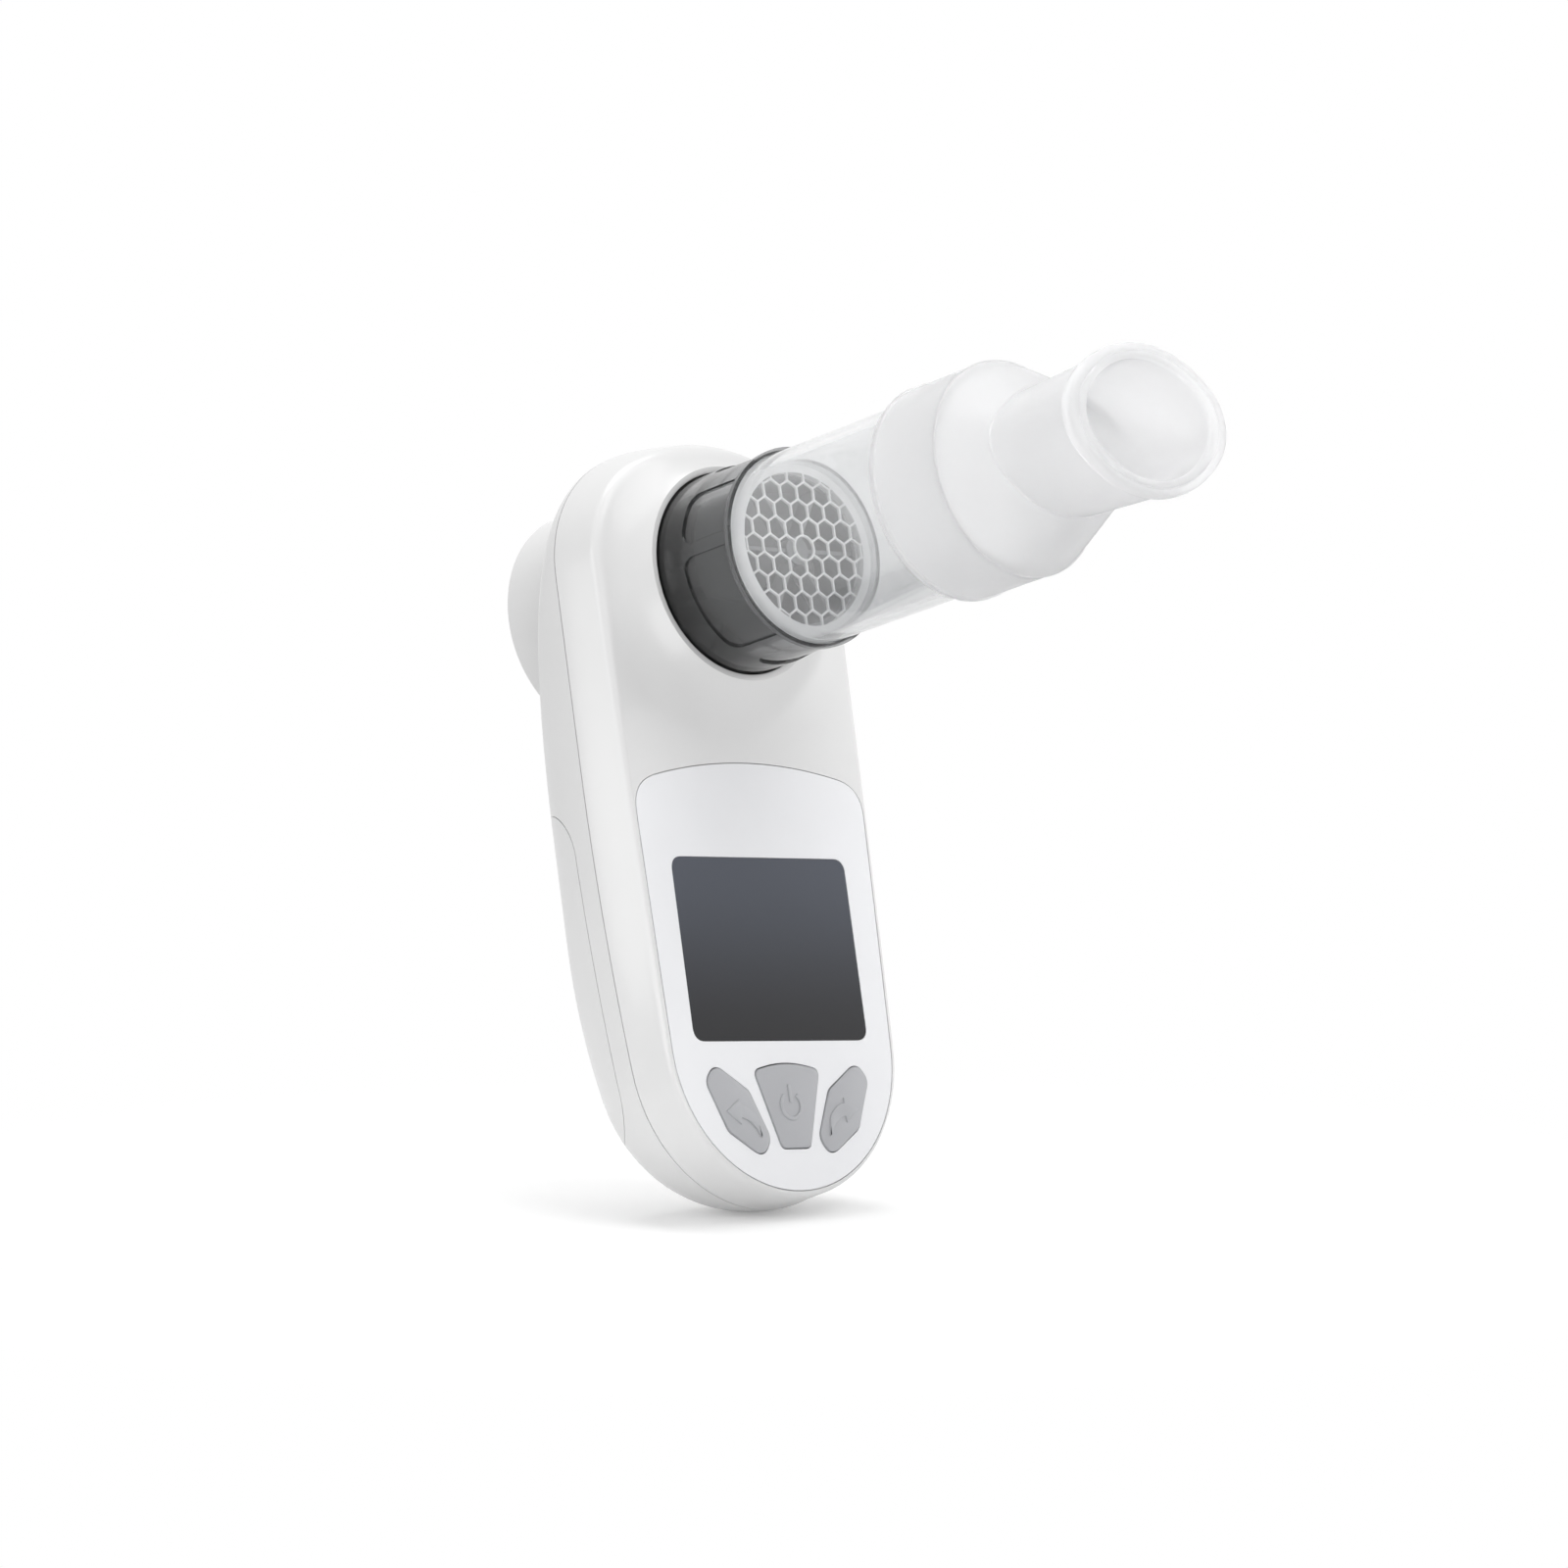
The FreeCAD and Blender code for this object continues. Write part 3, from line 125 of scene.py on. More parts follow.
class FlowMeterDoor(bpy.types.PropertyGroup):
    """Sizes of the battery door and its bay."""

    above_cells: length("Above the cells", 0.002, "From the cells' upper end to the door's edge")
    below_cells: length("Below the cells", 0.0053, "From the cells' lower end to the door's edge")
    front_depth: length("Door front depth", 0.0123, "From the display face to the door's front edge")
    corner_radius: length("Door corner", 0.008, "Radius of the door's corners, seen from the side")
    gap: length("Door gap", 0.00015, "Gap round the door")
    seat_gap: length("Door seat", 0.0003, "Gap between the door and the deck that it lies on")
    cell_room: length("Cell room", 0.0003, "Clearance round the cells")
    cell_gap: length("Cell gap", 0.0004, "Half the gap between the cells")
    contact_room: length("Contact room", 0.0014, "Room for the contacts at the cells' ends")
    bay_wall: length("Bay wall", 0.001, "Wall of the battery bay")
    deck_inset: length("Deck inset", 0.0005, "How far the deck under the door stays inside the outer skin")


class FlowMeterFace(bpy.types.PropertyGroup):
    """Sizes of the display panel, the keys and their signs."""

    panel_margin: length("Panel margin", 0.0009, "From the edge of the face to the panel")
    panel_crown: length("Panel crown", 0.082, "Radius of the panel's upper edge")
    panel_corner: length("Panel corner", 0.0045, "Radius of the panel's upper corners")
    window_corner: length("Window corner", 0.0022, "Radius of the opening for the screen window")
    window_rim: length("Window rim", 0.00052, "Rim of the window that lies behind the panel")
    panel_gap: length("Panel gap", 0.00017, "Gap round the panel")
    panel_seat: length("Panel seat", 0.0006, "Depth of the panel's pocket")
    key_gap: length("Key gap", 0.0002, "Gap round each key")
    key_rise: length("Key rise", 0.00028, "How far the keys stand out of the panel")
    key_thickness: length("Key thickness", 0.0016, "Thickness of the keys' caps")
    plunger_radius: length("Plunger radius", 0.0012, "Radius of the pin that pushes each switch")
    plunger_gap: length("Plunger gap", 0.0005, "From the pin's end to the switch, a little more than the key's travel")
    sign_height: length("Sign height", 0.00025, "How far the signs stand up from the keys")
    sign_stroke: length("Sign stroke", 0.00062, "Width of the strokes of the power sign")


class FlowMeterMouthpiece(bpy.types.PropertyGroup):
    """Sizes of the mouthpiece."""

    collar_length: length("Collar length", 0.0138, "From the rear edge to the shoulder")
    collar_radius: length("Collar radius", 0.0164, "Outer radius of the collar")
    bead_length: length("Bead length", 0.0009, "Length of the bead on the collar's rear edge")
    bead_height: length("Bead height", 0.00025, "How far the bead stands up")
    bead_rounding: length("Bead rounding", 0.0002, "Rounding of the bead's rear edge")
    collar_bore: length("Collar bore", 0.01516, "Radius of the bore that fits over the tube")
    tube_stop: length("Tube stop", 0.0006, "Step inside the shoulder that stops the tube")
    dome_length: length("Dome length", 0.0103, "From the shoulder to the root of the neck")
    neck_half_width: length("Neck half width", 0.0151, "Half the width of the neck at its root")
    neck_half_height: length("Neck half height", 0.0101, "Half the height of the neck at its root")
    tip_half_width: length("Tip half width", 0.0145, "Half the width of the neck at the lip")
    tip_half_height: length("Tip half height", 0.0110, "Half the height of the neck at the lip")
    lip_half_width: length("Lip half width", 0.0160, "Half the width of the lip")
    lip_half_height: length("Lip half height", 0.01155, "Half the height of the lip")
    lip_length: length("Lip length", 0.0020, "Thickness of the lip along the flow axis")
    lip_bore_width: length("Lip bore half width", 0.0125, "Half the width of the mouth, inside the lip")
    lip_bore_height: length("Lip bore half height", 0.0091, "Half the height of the mouth, inside the lip")
    bore_half_width: length("Bore half width", 0.0130, "Half the width of the neck's bore")
    bore_half_height: length("Bore half height", 0.0089, "Half the height of the neck's bore")
    ridge: length("Ridge", 0.00012, "Height of the fine ridge round the collar and round the neck's root")
    dome_bulge: FloatProperty(name="Dome bulge", description="How far the dome bulges beyond a straight cone",
                              default=0.025, min=0.0, max=0.3)
    end_share: FloatProperty(name="End share", description="How much tighter than the sides the oval's ends are",
                             default=0.85, min=0.0, max=0.9)


class FlowMeterColours(bpy.types.PropertyGroup):
    """Colours of the finishes."""

    case: colour("Case", (0.78, 0.78, 0.78), "White moulded body")
    panel: colour("Panel", (0.90, 0.905, 0.925), "Bluish white display panel")
    key: colour("Keys", (0.46, 0.465, 0.485), "Grey rubber keys")
    screen: colour("Screen foot", (0.016, 0.016, 0.018), "Foot of the unlit display")
    # Painted reflection: this colour lightens the display towards its top, standing in for a reflection.
    screen_painted_reflection: colour("Screen top", (0.075, 0.083, 0.105), "Top of the unlit display")
    smoke: colour("Smoked plastic", (0.37, 0.375, 0.38), "Turbine housing in front of the nozzle")
    # Painted shade: the housing's colour darkens towards its rear, where it lies in shade inside the nozzle.
    smoke_painted_shade: colour("Smoked plastic inside", (0.06, 0.06, 0.062), "Turbine housing inside the nozzle")
    clear: colour("Clear plastic", (0.94, 0.945, 0.95), "Flow tube")
    # Painted shade: the tube's colour darkens towards its underside, where shade falls.
    clear_painted_shade: colour("Clear plastic below", (0.80, 0.805, 0.81), "Flow tube along its underside")
    frost: colour("Frosted plastic", (0.975, 0.975, 0.98), "Mouthpiece")
    web: colour("Straightener", (0.80, 0.805, 0.81), "Honeycomb straightener")
    guide: colour("Swirl guides", (0.20, 0.205, 0.21), "Grey guides behind the straightener")


# Materials

def shader(name):
    material = bpy.data.materials.new(name)
    material.use_nodes = True
    return material, material.node_tree.nodes, material.node_tree.links, material.node_tree.nodes["Principled BSDF"]


def speckle(nodes, links, scale, detail=3.0):
    """Noise in the object's own space, so that it stays on the piece."""
    place = nodes.new("ShaderNodeTexCoord")
    noise = nodes.new("ShaderNodeTexNoise")
    noise.inputs["Scale"].default_value = scale
    noise.inputs["Detail"].default_value = detail
    links.new(place.outputs["Object"], noise.inputs["Vector"])
    return noise.outputs["Fac"]


def ramp_between(nodes, links, factor, low, high):
    ramp = nodes.new("ShaderNodeValToRGB")
    ramp.color_ramp.elements[0].position = 0.3
    ramp.color_ramp.elements[1].position = 0.7
    ramp.color_ramp.elements[0].color = (*low, 1.0)
    ramp.color_ramp.elements[1].color = (*high, 1.0)
    links.new(factor, ramp.inputs["Fac"])
    return ramp.outputs["Color"]


def spread(nodes, links, factor, low, high):
    span = nodes.new("ShaderNodeMapRange")
    span.inputs["To Min"].default_value = low
    span.inputs["To Max"].default_value = high
    links.new(factor, span.inputs["Value"])
    return span.outputs["Result"]


def grain(nodes, links, bsdf, scale, strength, distance=0.00002):
    bump = nodes.new("ShaderNodeBump")
    bump.inputs["Strength"].default_value = strength
    bump.inputs["Distance"].default_value = distance
    links.new(speckle(nodes, links, scale), bump.inputs["Height"])
    links.new(bump.outputs["Normal"], bsdf.inputs["Normal"])


def moulded(name, tint, roughness, grain_scale=2200.0, grain_strength=0.12, coat=0.0):
    """Moulded plastic: slight colour drift, uneven gloss and a fine spark-eroded grain."""
    material, nodes, links, bsdf = shader(name)
    tint = tuple(tint)
    darker = tuple(0.975 * value for value in tint)
    drift = speckle(nodes, links, 60.0)
    links.new(ramp_between(nodes, links, drift, darker, tint), bsdf.inputs["Base Color"])
    gloss = speckle(nodes, links, 300.0)
    links.new(spread(nodes, links, gloss, roughness * 0.9, roughness * 1.12), bsdf.inputs["Roughness"])
    bsdf.inputs["IOR"].default_value = 1.5
    bsdf.inputs["Coat Weight"].default_value = coat
    bsdf.inputs["Coat Roughness"].default_value = 0.12
    grain(nodes, links, bsdf, grain_scale, grain_strength)
    return material


def along_axis(nodes, links, axis, start, end, first, last):
    """Colour that runs from first to last between two places on an axis of the frame."""
    place = nodes.new("ShaderNodeTexCoord")
    split = nodes.new("ShaderNodeSeparateXYZ")
    links.new(place.outputs["Object"], split.inputs["Vector"])
    share = nodes.new("ShaderNodeMapRange")
    share.interpolation_type = "SMOOTHSTEP"
    share.inputs["From Min"].default_value = start
    share.inputs["From Max"].default_value = end
    links.new(split.outputs[axis], share.inputs["Value"])
    ramp = nodes.new("ShaderNodeValToRGB")
    ramp.color_ramp.elements[0].color = (*first, 1.0)
    ramp.color_ramp.elements[1].color = (*last, 1.0)
    links.new(share.outputs["Result"], ramp.inputs["Fac"])
    return ramp.outputs["Color"]


def see_through(name, tint, roughness, transmission, ior=1.45, flow_scale=120.0, coat=0.0, fade=None):
    """Transparent plastic with faint flow marks from the mould; fade is an axis, a start, an end and a dark tint for
    painted shade that darkens the colour along that axis.
    """
    material, nodes, links, bsdf = shader(name)
    tint = tuple(tint)
    marks = ramp_between(nodes, links, speckle(nodes, links, flow_scale), tuple(0.96 * value for value in tint), tint)
    # Painted shade: the colour is multiplied down towards the dark tint along one axis.
    if fade:
        axis, start, end, dark = fade
        share = tuple(shade / value for shade, value in zip(dark, tint))
        product = nodes.new("ShaderNodeMix")
        product.data_type = "RGBA"
        product.blend_type = "MULTIPLY"
        product.inputs["Factor"].default_value = 1.0
        links.new(marks, product.inputs["A"])
        links.new(along_axis(nodes, links, axis, start, end, share, (1.0, 1.0, 1.0)), product.inputs["B"])
        marks = product.outputs["Result"]
    links.new(marks, bsdf.inputs["Base Color"])
    gloss = speckle(nodes, links, 400.0)
    links.new(spread(nodes, links, gloss, roughness * 0.8, roughness * 1.2), bsdf.inputs["Roughness"])
    bsdf.inputs["IOR"].default_value = ior
    bsdf.inputs["Transmission Weight"].default_value = transmission
    bsdf.inputs["Coat Weight"].default_value = coat
    bsdf.inputs["Coat Roughness"].default_value = 0.05
    grain(nodes, links, bsdf, 180.0, 0.05, 0.00003)
    return material


def metal(name, tint, roughness, brush=900.0):
    material, nodes, links, bsdf = shader(name)
    tint = tuple(tint)
    links.new(ramp_between(nodes, links, speckle(nodes, links, brush), tuple(0.9 * v for v in tint), tint),
              bsdf.inputs["Base Color"])
    links.new(spread(nodes, links, speckle(nodes, links, brush), roughness * 0.8, roughness * 1.3),
              bsdf.inputs["Roughness"])
    bsdf.inputs["Metallic"].default_value = 1.0
    return material


def screen_glass(name, foot, top):
    """Unlit display: dark, with a painted reflection that makes it a little lighter at the top, under a smooth pane."""
    material, nodes, links, bsdf = shader(name)
    low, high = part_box("screen_window")
    # Painted reflection: the colour runs from the dark foot to a lighter top.
    links.new(along_axis(nodes, links, "Z", low.z, high.z, foot, top), bsdf.inputs["Base Color"])
    gloss = speckle(nodes, links, 500.0)
    links.new(spread(nodes, links, gloss, 0.30, 0.36), bsdf.inputs["Roughness"])
    bsdf.inputs["Specular IOR Level"].default_value = 0.25
    return material


def dress(names, material):
    """Gives the frame's own nodes a finish."""
    for name in names:
        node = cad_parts[name]
        node.data.materials.clear()
        node.data.materials.append(material)


# Outlines and meshes

def arc_points(centre, radius, start, end, steps):
    """Points on an arc, from its start angle to just before its end angle."""
    return [centre + radius * Vector((math.cos(start + (end - start) * i / steps),
                                      math.sin(start + (end - start) * i / steps))) for i in range(steps)]


def angle_of(vector):
    return math.atan2(vector.y, vector.x)


def case_ring(case, side, top, foot, lean=0.0, give=0.0):
    """Body outline in XZ, drawn in by side, top and foot; lean tapers the sides and give widens the foot."""
    half = HALF_WIDTH - side
    crown = case.crown_radius - side
    corner = case.corner_radius - side
    base = case.foot_radius - side + give
    crown_z = TOP_Z - top - crown
    corner_x = half - corner
    corner_z = crown_z + math.sqrt((crown - corner) ** 2 - corner_x ** 2)
    base_z = FOOT_Z + foot + base
    seam_reach = math.sqrt((case.crown_radius - case.corner_radius) ** 2 - (HALF_WIDTH - case.corner_radius) ** 2)
    seam_run = TOP_Z - case.crown_radius + seam_reach - FOOT_Z - case.foot_radius
    run = corner_z - base_z
    straight = case.side_straight * run / seam_run
    tilt = lean * (math.acos((base - corner) / math.hypot(corner_x, run)) - math.atan2(run, corner_x))
    inward = Vector((-math.cos(tilt), math.sin(tilt)))
    along = Vector((-math.sin(tilt), -math.cos(tilt)))
    crown_centre = Vector((0.0, crown_z))
    corner_centre = Vector((corner_x, corner_z))
    base_centre = Vector((0.0, base_z))
    corner_end = corner_centre - inward * corner
    side_start = corner_end + along * straight
    reach = side_start - base_centre
    bow = (base ** 2 - reach.dot(reach)) / (2 * (inward.dot(reach) + base))
    bow_centre = side_start + inward * bow
    shoulder = angle_of(corner_centre - crown_centre)
    hip = angle_of(base_centre - bow_centre)
    points = arc_points(crown_centre, crown, math.pi / 2, shoulder, 14)
    points += arc_points(corner_centre, corner, shoulder, angle_of(-inward), 18)
    points += [corner_end.lerp(side_start, i / 8) for i in range(8)]
    points += arc_points(bow_centre, bow, angle_of(-inward), hip, 20)
    points += arc_points(base_centre, base, hip, -math.pi / 2, 20)
    points.append(Vector((0.0, FOOT_Z + foot)))
    return points + [Vector((-point.x, point.y)) for point in points[-2:0:-1]]


def at_depth(points, y):
    return [Vector((point.x, y, point.y)) for point in points]


def rounded(points, radii, steps=8):
    """Closed outline with a rounded corner at each point."""
    outline = []
    for index, corner in enumerate(points):
        corner = Vector(corner)
        before = (Vector(points[index - 1]) - corner).normalized()
        after = (Vector(points[(index + 1) % len(points)]) - corner).normalized()
        half = before.angle(after) / 2
        setback = radii[index] / math.tan(half)
        for step in range(steps + 1):
            share = step / steps
            start = corner + before * setback
            end = corner + after * setback
            outline.append(start.lerp(corner, share).lerp(corner.lerp(end, share), share))
    return outline


def new_piece(name, mesh_maker):
    """Mesh object from a function that fills a bmesh."""
    mesh = bpy.data.meshes.new(name)
    bm = bmesh.new()
    mesh_maker(bm)
    bmesh.ops.recalc_face_normals(bm, faces=bm.faces)
    bm.to_mesh(mesh)
    bm.free()
    piece = bpy.data.objects.new(name, mesh)
    bpy.context.scene.collection.objects.link(piece)
    return piece


def skin(name, rings, wrap=False):
    """Quads through rings of equally many points; wrap joins the last ring to the first, else both ends close."""
    def fill(bm):
        rows = [[bm.verts.new(point) for point in ring] for ring in rings]
        count = len(rings[0])
        pairs = list(zip(rows, rows[1:]))
        if wrap:
            pairs.append((rows[-1], rows[0]))
        for near, far in pairs:
            for i in range(count):
                j = (i + 1) % count
                bm.faces.new((near[i], near[j], far[j], far[i]))
        if not wrap:
            bm.faces.new(rows[0])
            bm.faces.new(rows[-1][::-1])
    return new_piece(name, fill)


def prism(name, outline, y_start, y_end):
    """Solid from an XZ outline, drawn along the flow axis."""
    return skin(name, [at_depth(outline, y_start), at_depth(outline, y_end)])


def circle(radius, steps=RING_STEPS):
    return [Vector((radius * math.sin(math.tau * i / steps), radius * math.cos(math.tau * i / steps)))
            for i in range(steps)]


def box_outline(x_low, x_high, z_low, z_high):
    return [Vector((x_low, z_low)), Vector((x_high, z_low)), Vector((x_high, z_high)), Vector((x_low, z_high))]


def combine(piece, tool, operation):
    """Boolean of two solids; the tool is used up."""
    cut = piece.modifiers.new(operation.title(), "BOOLEAN")
    cut.operation = operation
    cut.solver = "EXACT"
    cut.object = tool
    with bpy.context.temp_override(object=piece, active_object=piece, selected_objects=[piece]):
        bpy.ops.object.modifier_apply(modifier=cut.name)
    bpy.data.objects.remove(tool)
    return piece


def finish_piece(piece, body, material, stands_for=(), soften=0.0):
    """Rounds the edges a little, shades the piece and hangs it on its body."""
    if soften:
        edge = piece.modifiers.new("Soft edges", "BEVEL")
        edge.width = soften
        edge.segments = 2
        edge.limit_method = "ANGLE"
        edge.angle_limit = SHARP_ANGLE
        edge.harden_normals = False
        with bpy.context.temp_override(object=piece, active_object=piece, selected_objects=[piece]):
            bpy.ops.object.modifier_apply(modifier=edge.name)
    piece.data.polygons.foreach_set("use_smooth", [True] * len(piece.data.polygons))
    piece.data.set_sharp_from_angle(angle=SHARP_ANGLE)
    piece.data.materials.clear()
    piece.data.materials.append(material)
    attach(piece, body)
    if stands_for:
        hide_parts(*stands_for)
    return piece


# Front shell

def flare_height(case, radius):
    """How far the flare stands in front of the face at this distance from the flow axis."""
    height = FACE_Y - NOZZLE_TIP_Y
    slope = math.acos(1 - height / case.flare_radius)
    foot = case.nozzle_rim + case.flare_radius * math.sin(slope)
    if radius >= foot:
        return 0.0
    return case.flare_radius - math.sqrt(case.flare_radius ** 2 - (foot - max(radius, case.nozzle_rim)) ** 2)


def face_column(case, band, edge, face):
    """Path over the front of the shell, from the band up the side and across the face to the nozzle rim."""
    centre_dir = face.normalized()
    reach = face.length
    path = [Vector((band.x, FACE_Y + case.parting_depth - case.band_width, band.y)),
            Vector((edge.x, FACE_Y + case.edge_start, edge.y)),
            Vector((face.x, FACE_Y, face.y))]
    start = reach
    while flare_height(case, start) > reach - start + 0.00005:
        start -= 0.0001
    steps = 60
    for step in range(1 if start == reach else 0, steps + 1):
        radius = start + (case.nozzle_rim - start) * (step / steps)
        place = centre_dir * radius
        path.append(Vector((place.x, FACE_Y - flare_height(case, radius), place.y)))
    return path


def walk(path, marks, place):
    """Point on a path at a distance from its start."""
    low, high = 0, len(marks) - 1
    while high - low > 1:
        middle = (low + high) // 2
        if marks[middle] <= place:
            low = middle
        else:
            high = middle
    span = marks[high] - marks[low]
    share = 0.0 if span == 0 else (place - marks[low]) / span
    return path[low].lerp(path[high], min(max(share, 0.0), 1.0))


def softened(path, places, reach):
    """Path sampled at these distances, each sample being the mean of its surroundings."""
    marks = [0.0]
    for start, end in zip(path, path[1:]):
        marks.append(marks[-1] + (end - start).length)
    whole = marks[-1]
    samples = []
    for place in places(whole):
        room = min(reach, place, whole - place)
        around = [walk(path, marks, place + room * step / 4) for step in range(-4, 5)]
        samples.append(sum(around, Vector()) / len(around))
    return samples


EDGE_DISTANCE = 0.0053   # from the band up the side to the edge of the face
EDGE_STEP = 0.0003
FLARE_LENGTH = 0.0125


def column_places(whole):
    """Distances along a face column: close together round the edge and on the flare."""
    near_edge = [EDGE_DISTANCE * share for share in (0.0, 0.35, 0.7)]
    near_edge += [EDGE_DISTANCE + EDGE_STEP * step for step in range(-4, 11)]
    start = near_edge[-1]
    rest = whole - start
    flare = min(0.96 * rest, FLARE_LENGTH)
    flat = rest - flare
    flat_places = [start + flat * step / 7 for step in range(1, 8)]
    return near_edge + flat_places + [start + flat + flare * step / 22 for step in range(1, 23)]


def front_shell(case):
    seam = case_ring(case, 0.0, 0.0, 0.0)
    band = case_ring(case, case.band_inset, case.band_inset, case.band_inset)
    lean = case.side_lean
    band_depth = case.parting_depth - case.band_width
    share = 1 - case.edge_start / band_depth
    side = case.band_inset + (case.face_inset - case.band_inset) * share
    foot = case.band_inset + (case.face_foot_inset - case.band_inset) * share
    edge = case_ring(case, side, side, foot, lean, side - foot)
    face = case_ring(case, case.face_inset, case.face_inset, case.face_foot_inset, lean,
                     case.face_inset - case.face_foot_inset)
    inner_face = case_ring(case, case.face_inset + case.wall, case.face_inset + case.wall,
                           case.face_foot_inset + case.wall, lean, case.face_inset - case.face_foot_inset)
    inner_seam = case_ring(case, case.wall, case.wall, case.wall)
    columns = [softened(face_column(case, *three), column_places, case.edge_softness)
               for three in zip(band, edge, face)]
    rebate = at_depth(case_ring(case, case.seam_depth, case.seam_depth, case.seam_depth), FACE_Y + case.parting_depth)
    gap = Vector((0.0, case.seam_gap, 0.0))
    rings = [rebate, [point - gap for point in rebate],
             [point - gap for point in at_depth(seam, FACE_Y + case.parting_depth)]]
    rings += [list(row) for row in zip(*columns)]
    outward = [point.normalized() for point in face]
    rim = case.nozzle_rim
    inner_rim = rim + case.wall / 2
    bore = case.nozzle_bore
    lip = case.nozzle_lip
    floor_y = FACE_Y + case.nozzle_floor
    for radius, y in ((rim - lip, NOZZLE_TIP_Y), (bore + lip, NOZZLE_TIP_Y),
                      (bore + 0.3 * lip, NOZZLE_TIP_Y + 0.3 * lip), (bore, NOZZLE_TIP_Y + lip), (bore, floor_y),
                      (inner_rim, floor_y), (inner_rim, FACE_Y + case.wall)):
        rings.append(at_depth([way * radius for way in outward], y))
    rings.append(at_depth(inner_face, FACE_Y + case.wall))
    rings.append(at_depth(inner_seam, FACE_Y + case.parting_depth))
    return skin("front_case", rings, wrap=True)


def panel_outline(case, face, grow):
    """Outline of the display panel: the face's outline below, a shallow arc above."""
    inset = case.face_inset + face.panel_margin - grow
    foot = case.face_foot_inset + face.panel_margin - grow
    outline = case_ring(case, inset, inset, foot, case.side_lean, case.face_inset - case.face_foot_inset)
    top = PANEL_HIGH.z + grow
    crown = face.panel_crown

    def lid(x):
        return top - crown + math.sqrt(crown ** 2 - x ** 2)

    right = [point for point in outline if point.x >= 0 and point.y < lid(point.x)]
    corner_x = right[0].x
    corner = Vector((corner_x, lid(corner_x)))
    radius = face.panel_corner + grow
    down = (right[4] - corner).normalized()
    inward = (Vector((corner_x - radius, lid(corner_x - radius))) - corner).normalized()
    start = corner + inward * radius
    end = corner + down * radius
    turn = [start.lerp(corner, step / 12).lerp(corner.lerp(end, step / 12), step / 12) for step in range(13)]
    crown_run = [Vector((start.x * step / 12, lid(start.x * step / 12))) for step in range(12)]
    side = [point for point in right if point.y < end.y - 0.0002]
    half = crown_run + turn + side
    return half + [Vector((-point.x, point.y)) for point in half[::-1] if point.x > 0.00001]


SIDE_KEY = ((0.0166, 0.0183), (0.0146, 0.0213), (0.0082, 0.0169), (0.0050, 0.0099), (0.0067, 0.0065), (0.0133, 0.0109))
SIDE_KEY_RADII = (0.0022, 0.0023, 0.0022, 0.0024, 0.0023, 0.0022)
POWER_KEY = ((0.0067, 0.0201), (0.0, 0.0215), (-0.0067, 0.0201), (-0.0029, 0.0081), (0.0029, 0.0081))
POWER_KEY_RADII = (0.0013, 0.020, 0.0013, 0.0012, 0.0012)


def grown(outline, distance):
    """Outline moved outwards by a distance."""
    middle = sum((Vector(point) for point in outline), Vector((0.0, 0.0))) / len(outline)
    moved = []
    for point in outline:
        way = Vector(point) - middle
        moved.append(middle + way * (1 + distance / way.length))
    return moved


def key_outlines(gap):
    """Outlines of the forward, back and power keys in XZ, grown by a gap."""
    side = rounded([Vector((x, FOOT_Z + rise)) for x, rise in SIDE_KEY], SIDE_KEY_RADII)
    power = rounded([Vector((x, FOOT_Z + rise)) for x, rise in POWER_KEY], POWER_KEY_RADII)
    other = [Vector((-point.x, point.y)) for point in side]
    return [grown(outline, gap) for outline in (side, other, power)]


class FLOWMETER_OT_front_shell(bpy.types.Operator):
    """Build the front shell with its nozzle, panel pocket and key openings"""

    bl_idname = "flowmeter.front_shell"
    bl_label = "Front shell"

    def execute(self, context):
        case = context.scene.flow_case
        face = context.scene.flow_face
        shell = front_shell(case)
        pocket = prism("pocket", panel_outline(case, face, face.panel_gap), FACE_Y - OVERLAP, FACE_Y + face.panel_seat)
        combine(shell, pocket, "DIFFERENCE")
        low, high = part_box("screen_window")
        window = box_outline(low.x, high.x, low.z, high.z)
        for outline in [window, *key_outlines(face.key_gap)]:
            combine(shell, prism("opening", outline, FACE_Y, FACE_Y + 2 * case.wall), "DIFFERENCE")
        finish_piece(shell, "body_case", case_material(context), ("front_shell",))
        return {"FINISHED"}


def case_material(context):
    name = "White case"
    return bpy.data.materials.get(name) or moulded(name, context.scene.flow_colours.case, 0.30, coat=0.25)


# Rear shell and battery door

def back_skin(case, name, inset, lead=0.0):
    """Rear half of the body as a closed form, rounded like a hull."""
    depth = case.back_depth - inset
    rings = []
    if lead:
        rings.append(at_depth(case_ring(case, inset, inset, inset), FACE_Y + case.parting_depth - lead))

    def ring(y, draw_in, edge):
        side = inset + (case.back_round - inset) * draw_in + edge
        return at_depth(case_ring(case, side, inset + case.back_top_slope * draw_in + edge,
                                  inset + case.back_foot_slope * draw_in + edge), y)

    last = math.radians(60)
    steps = 24
    for step in range(steps + 1):
        turn = last * step / steps
        y = FACE_Y + case.parting_depth + depth * math.sin(turn)
        rings.append(ring(y, 1 - math.cos(turn), 0.0))
    start = math.atan2(case.back_round * math.sin(last), depth * math.cos(last))
    edge_steps = 10
    for step in range(1, edge_steps + 1):
        turn = start + (math.pi / 2 - start) * step / edge_steps
        y = FACE_Y + case.parting_depth + depth * math.sin(last) + case.back_edge * (math.sin(turn) - math.sin(start))
        rings.append(ring(y, 1 - math.cos(last), case.back_edge * (math.cos(start) - math.cos(turn))))
    return skin(name, rings)


